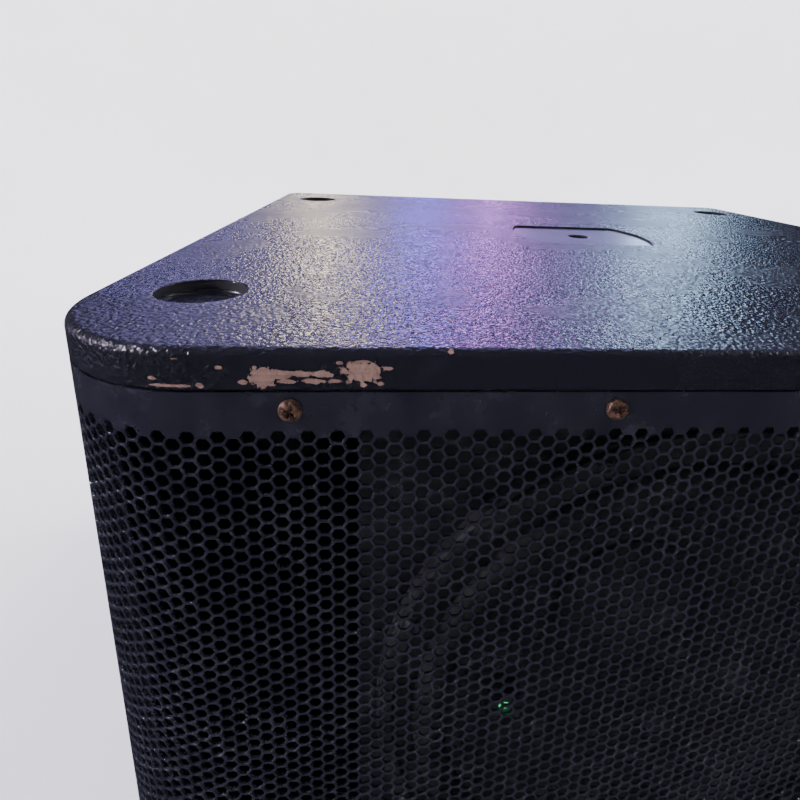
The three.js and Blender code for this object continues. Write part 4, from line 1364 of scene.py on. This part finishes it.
def knob(node):
    """A round skirt, a fluted grip and a shaft."""
    low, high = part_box(node)
    edge = half_size(node).x * 1000
    skirt = [(3, 1), (edge - 0.3, 1), (edge, 1.4), (edge, 3), (edge - 0.8, 4), (0, 4)]
    shell = Shell(front_view)
    shell.turn([(0, low.y), (mm(3), low.y)] + from_level(FLOOR, skirt), *spot_of(node), 64)
    shell.block(
        lambda inset: fluted(mm(edge - 2) - inset, spot_of(node)),
        [(0, FLOOR + mm(3.5))] + from_level(high.y, [(0.3, -1.2), (0.6, -0.4), (1.3, 0)]),
    )
    return shell


def mark(shell, half_u, half_v, u, v, turn=0.0, low=FLOOR - mm(0.05), high=FLOOR + mm(0.12)):
    """A small flat printed or inlaid bar, turned in its plane."""
    cosine, sine = math.cos(turn), math.sin(turn)
    outline = [
        (u + across * cosine - up * sine, v + across * sine + up * cosine)
        for across, up in rounded_rectangle(half_u, half_v, min(half_u, half_v) * 0.6, steps=3)
    ]
    shell.prism(outline, low, high)


def printed_frame(shell, low_x, high_x, low_z, high_z):
    """A thin line round part of the panel."""
    thick = mm(0.25)
    x, z = (low_x + high_x) / 2, (low_z + high_z) / 2
    half_x, half_z = (high_x - low_x) / 2, (high_z - low_z) / 2
    for offset in (-1, 1):
        mark(shell, half_x, thick, x, z + offset * half_z)
        mark(shell, thick, half_z, x + offset * half_x, z)


print_marks = Shell(front_view)
for name in ("level", "crossover"):
    node, body = f"{name}_knob", f"{name}_control"
    x, z = spot_of(node)
    piece(f"{name}_dial", knob(node), PLASTIC, [node], body)
    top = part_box(node)[1].y
    pointer = Shell(front_view)
    mark(pointer, mm(0.45), mm(2.4), x, z + mm(3.2), 0, top - mm(0.1), top + mm(0.05))
    piece(f"{name}_pointer", pointer, PRINT, body=body)
    for tick in range(11):
        turn = math.radians(240 - 30 * tick)
        out = outwards(turn) * mm(12.4)
        half_length = mm(1.5 if tick % 5 == 0 else 0.9)
        mark(print_marks, half_length, mm(0.22), x + out.x, z + out.z, turn)

# Frames round the sockets and controls, and round the switch and the mains inlet.
input_x, input_z = spot_of("input_socket")
link_x = middle("link_socket").x
switch_x, switch_z = spot_of("power_rocker")
inlet_x, inlet_z = spot_of("mains_inlet")
for low_z, high_z in (
    (middle("polarity_button").z - mm(14), input_z + mm(26)), (inlet_z - mm(24), switch_z + mm(24)),
):
    printed_frame(print_marks, link_x - mm(27), input_x + mm(27), low_z, high_z)

# On and off marks above and below the switch: a bar and a ring.
mark(print_marks, mm(0.35), mm(1.8), switch_x, switch_z + mm(18.5))
off_ring = [(1.3, -0.05), (1.8, -0.05), (1.8, 0.12), (1.3, 0.12)]
print_marks.turn(from_level(FLOOR, off_ring), switch_x, switch_z - mm(18.5), 32)
piece("printed_marks", print_marks, PRINT)

button_low, button_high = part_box("polarity_button")
edge = half_size("polarity_button").x * 1000
face = [(edge, -0.8), (edge - 0.25, -0.25), (edge - 0.8, 0), (edge * 0.6, -0.3), (0, -0.45)]
button = [(0, button_low.y), (mm(edge), button_low.y)] + from_level(button_high.y, face)
turned(
    "polarity_push", button, spot_of("polarity_button"), PLASTIC, ["polarity_button"], "polarity_control"
)

# Mains contacts: three flat blades standing in the inlet's well.
blades = Shell(front_view)
for u, v in ((-7, -2), (7, -2), (0, 3)):
    x, z = inlet_x + mm(u), inlet_z + mm(v)
    blades.block(
        lambda inset: rounded_rectangle(mm(1.0) - inset, mm(2.2) - inset, mm(0.3), x, z, 2),
        from_level(FLOOR, [(0, -16.5), (0, -2.6), (0.4, -2)]),
    )
piece("mains_blades", blades, ZINC)

# Signal lights on the panel, each a lens in a small ring.
AMBER = lens("amber_lens", (0.75, 0.30, 0.03), 0.15)
RED = lens("red_lens", (0.65, 0.03, 0.02), 0.1)
dome = [(0, -1), (1.5, -1), (1.5, 0.6), (1.2, 1.3), (0.7, 1.7), (0, 1.85)]
collar = [(1.6, -0.2), (2.6, -0.2), (2.6, 0.4), (2.3, 0.7), (1.6, 0.7)]
for name, finish, share in (("signal", GREEN, 0.2), ("limit", AMBER, 0.5), ("fault", RED, 0.8)):
    spot = (link_x + (input_x - link_x) * share, input_z - mm(38))
    turned(f"{name}_light", from_level(FLOOR, dome), spot, finish, sides=32)
    turned(f"{name}_light_ring", from_level(FLOOR, collar), spot, PLASTIC, sides=32)

# ---- Stage, light and camera --------------------------------------------------------------


def sweep():
    """A round pale floor that curves up into a backdrop on every side."""
    reach, height, bend, sides = 4.6, 6.5, 1.6, 96
    profile = arc(reach - bend, bend, bend, -90, 0, 16) + [(reach, height)]
    points = []
    for radius, z in profile:
        points += [(x, y, z - mm(0.5)) for x, y in circle(radius, sides)]
    faces = [tuple(range(sides))]
    for ring in range(len(profile) - 1):
        for side in range(sides):
            here, ahead = ring * sides + side, ring * sides + (side + 1) % sides
            faces.append((here, here + sides, ahead + sides, ahead))
    mesh = bpy.data.meshes.new("floor")
    mesh.from_pydata(points, [], faces)
    mesh.shade_smooth()
    made = add("floor", mesh)
    pale = Surface("pale_floor", (0.80, 0.80, 0.81), 0.75)
    tone = pale.mix(pale.noise(3.0, 3.0), (0.78, 0.78, 0.79), (0.84, 0.84, 0.85))
    made.data.materials.append(pale.finish(tone))
    made.visible_glossy = False


def softbox(name, spot, target, width, height, power, tint=(1.0, 1.0, 1.0)):
    lamp = bpy.data.lights.new(name, "AREA")
    lamp.shape = "RECTANGLE"
    lamp.size = width
    lamp.size_y = height
    lamp.energy = power
    lamp.color = tint
    made = add(name, lamp)
    made.location = spot
    aim = Vector(target) - Vector(spot)
    made.rotation_euler = aim.to_track_quat("-Z", "Y").to_euler()
    made.visible_camera = False
    return made


sweep()
world = bpy.data.worlds.new("studio")
bpy.context.scene.world = world
world.use_nodes = True
world.node_tree.nodes["Background"].inputs["Color"].default_value = (0.72, 0.74, 1.0, 1)
world.node_tree.nodes["Background"].inputs["Strength"].default_value = 0.055

# Soft lights behind, aimed at the top: name, place, width, height, watts and tint.
for name, spot, width, height, power, tint in (
    ("back_wide", (0.0, 3.4, 1.65), 4.6, 1.5, 40, (0.44, 0.38, 1.0)),
    ("back_warm", (-0.62, 3.0, 1.55), 0.20, 1.2, 13, (1.0, 0.86, 0.52)),
    ("back_blue", (0.02, 3.1, 1.60), 0.24, 1.3, 13, (0.20, 0.16, 1.0)),
    ("back_violet", (0.48, 3.0, 1.55), 0.14, 1.2, 10, (0.78, 0.24, 1.0)),
    ("back_cool", (1.60, 2.8, 1.50), 0.45, 1.2, 14, (0.50, 0.78, 1.0)),
    ("high_wide", (0.0, 1.9, 3.1), 3.6, 0.5, 26, (0.50, 0.46, 1.0)),
):
    softbox(name, spot, (0.0, 0.0, TOP), width, height, power, tint)

# Fill from the sides and the front, aimed at the body.
BODY = (0, 0, 0.3)
softbox("left_fill", (-3.0, -0.4, 1.3), BODY, 1.0, 1.8, 20, (0.74, 0.50, 1.0))
softbox("right_fill", (3.0, 0.4, 1.6), BODY, 1.0, 1.8, 18)
softbox("front_fill", (-0.9, -3.2, 1.6), BODY, 1.4, 1.0, 1.3, (0.80, 0.78, 1.0))
glint = softbox("left_glint", (-2.3, -0.60, 1.30), (-0.3, -0.3, 0.3), 0.08, 0.08, 2.2, (0.95, 0.88, 1.0))
glint.data.spread = math.radians(34)

# High lamps that brighten the backdrop and stay out of reflections.
for side, sideways in SIDES:
    for end, y, power in (("rear", 1.0, 330), ("front", -1.0, 20)):
        spot = (2.4 * sideways, y, 4.2)
        lamp = softbox(f"backdrop_{side}_{end}", spot, (spot[0] * 0.4, y * 4.5, 1.4), 2.0, 1.2, power)
        lamp.visible_glossy = False

# The camera stands close in front of the left half, just above the top, looking down a little.
CAMERA_SPOT = (-0.1900, -0.5344, 0.6019)
CAMERA_TURN = math.radians(6.271)  # to the right of straight ahead
CAMERA_DIP = math.radians(16.037)
CAMERA_ROLL = math.radians(2.708)
camera_data = bpy.data.cameras.new("camera")
camera_data.sensor_width = 36
camera_data.lens = 24.306
camera_data.shift_x = -0.0579
camera_data.shift_y = -0.1255
camera_data.clip_start = 0.01
camera = add("camera", camera_data)
camera.matrix_world = (
    Matrix.Translation(CAMERA_SPOT)
    @ Matrix.Rotation(-CAMERA_TURN, 4, "Z")
    @ Matrix.Rotation(math.pi / 2 - CAMERA_DIP, 4, "X")
    @ Matrix.Rotation(CAMERA_ROLL, 4, "Z")
)
bpy.context.scene.camera = camera
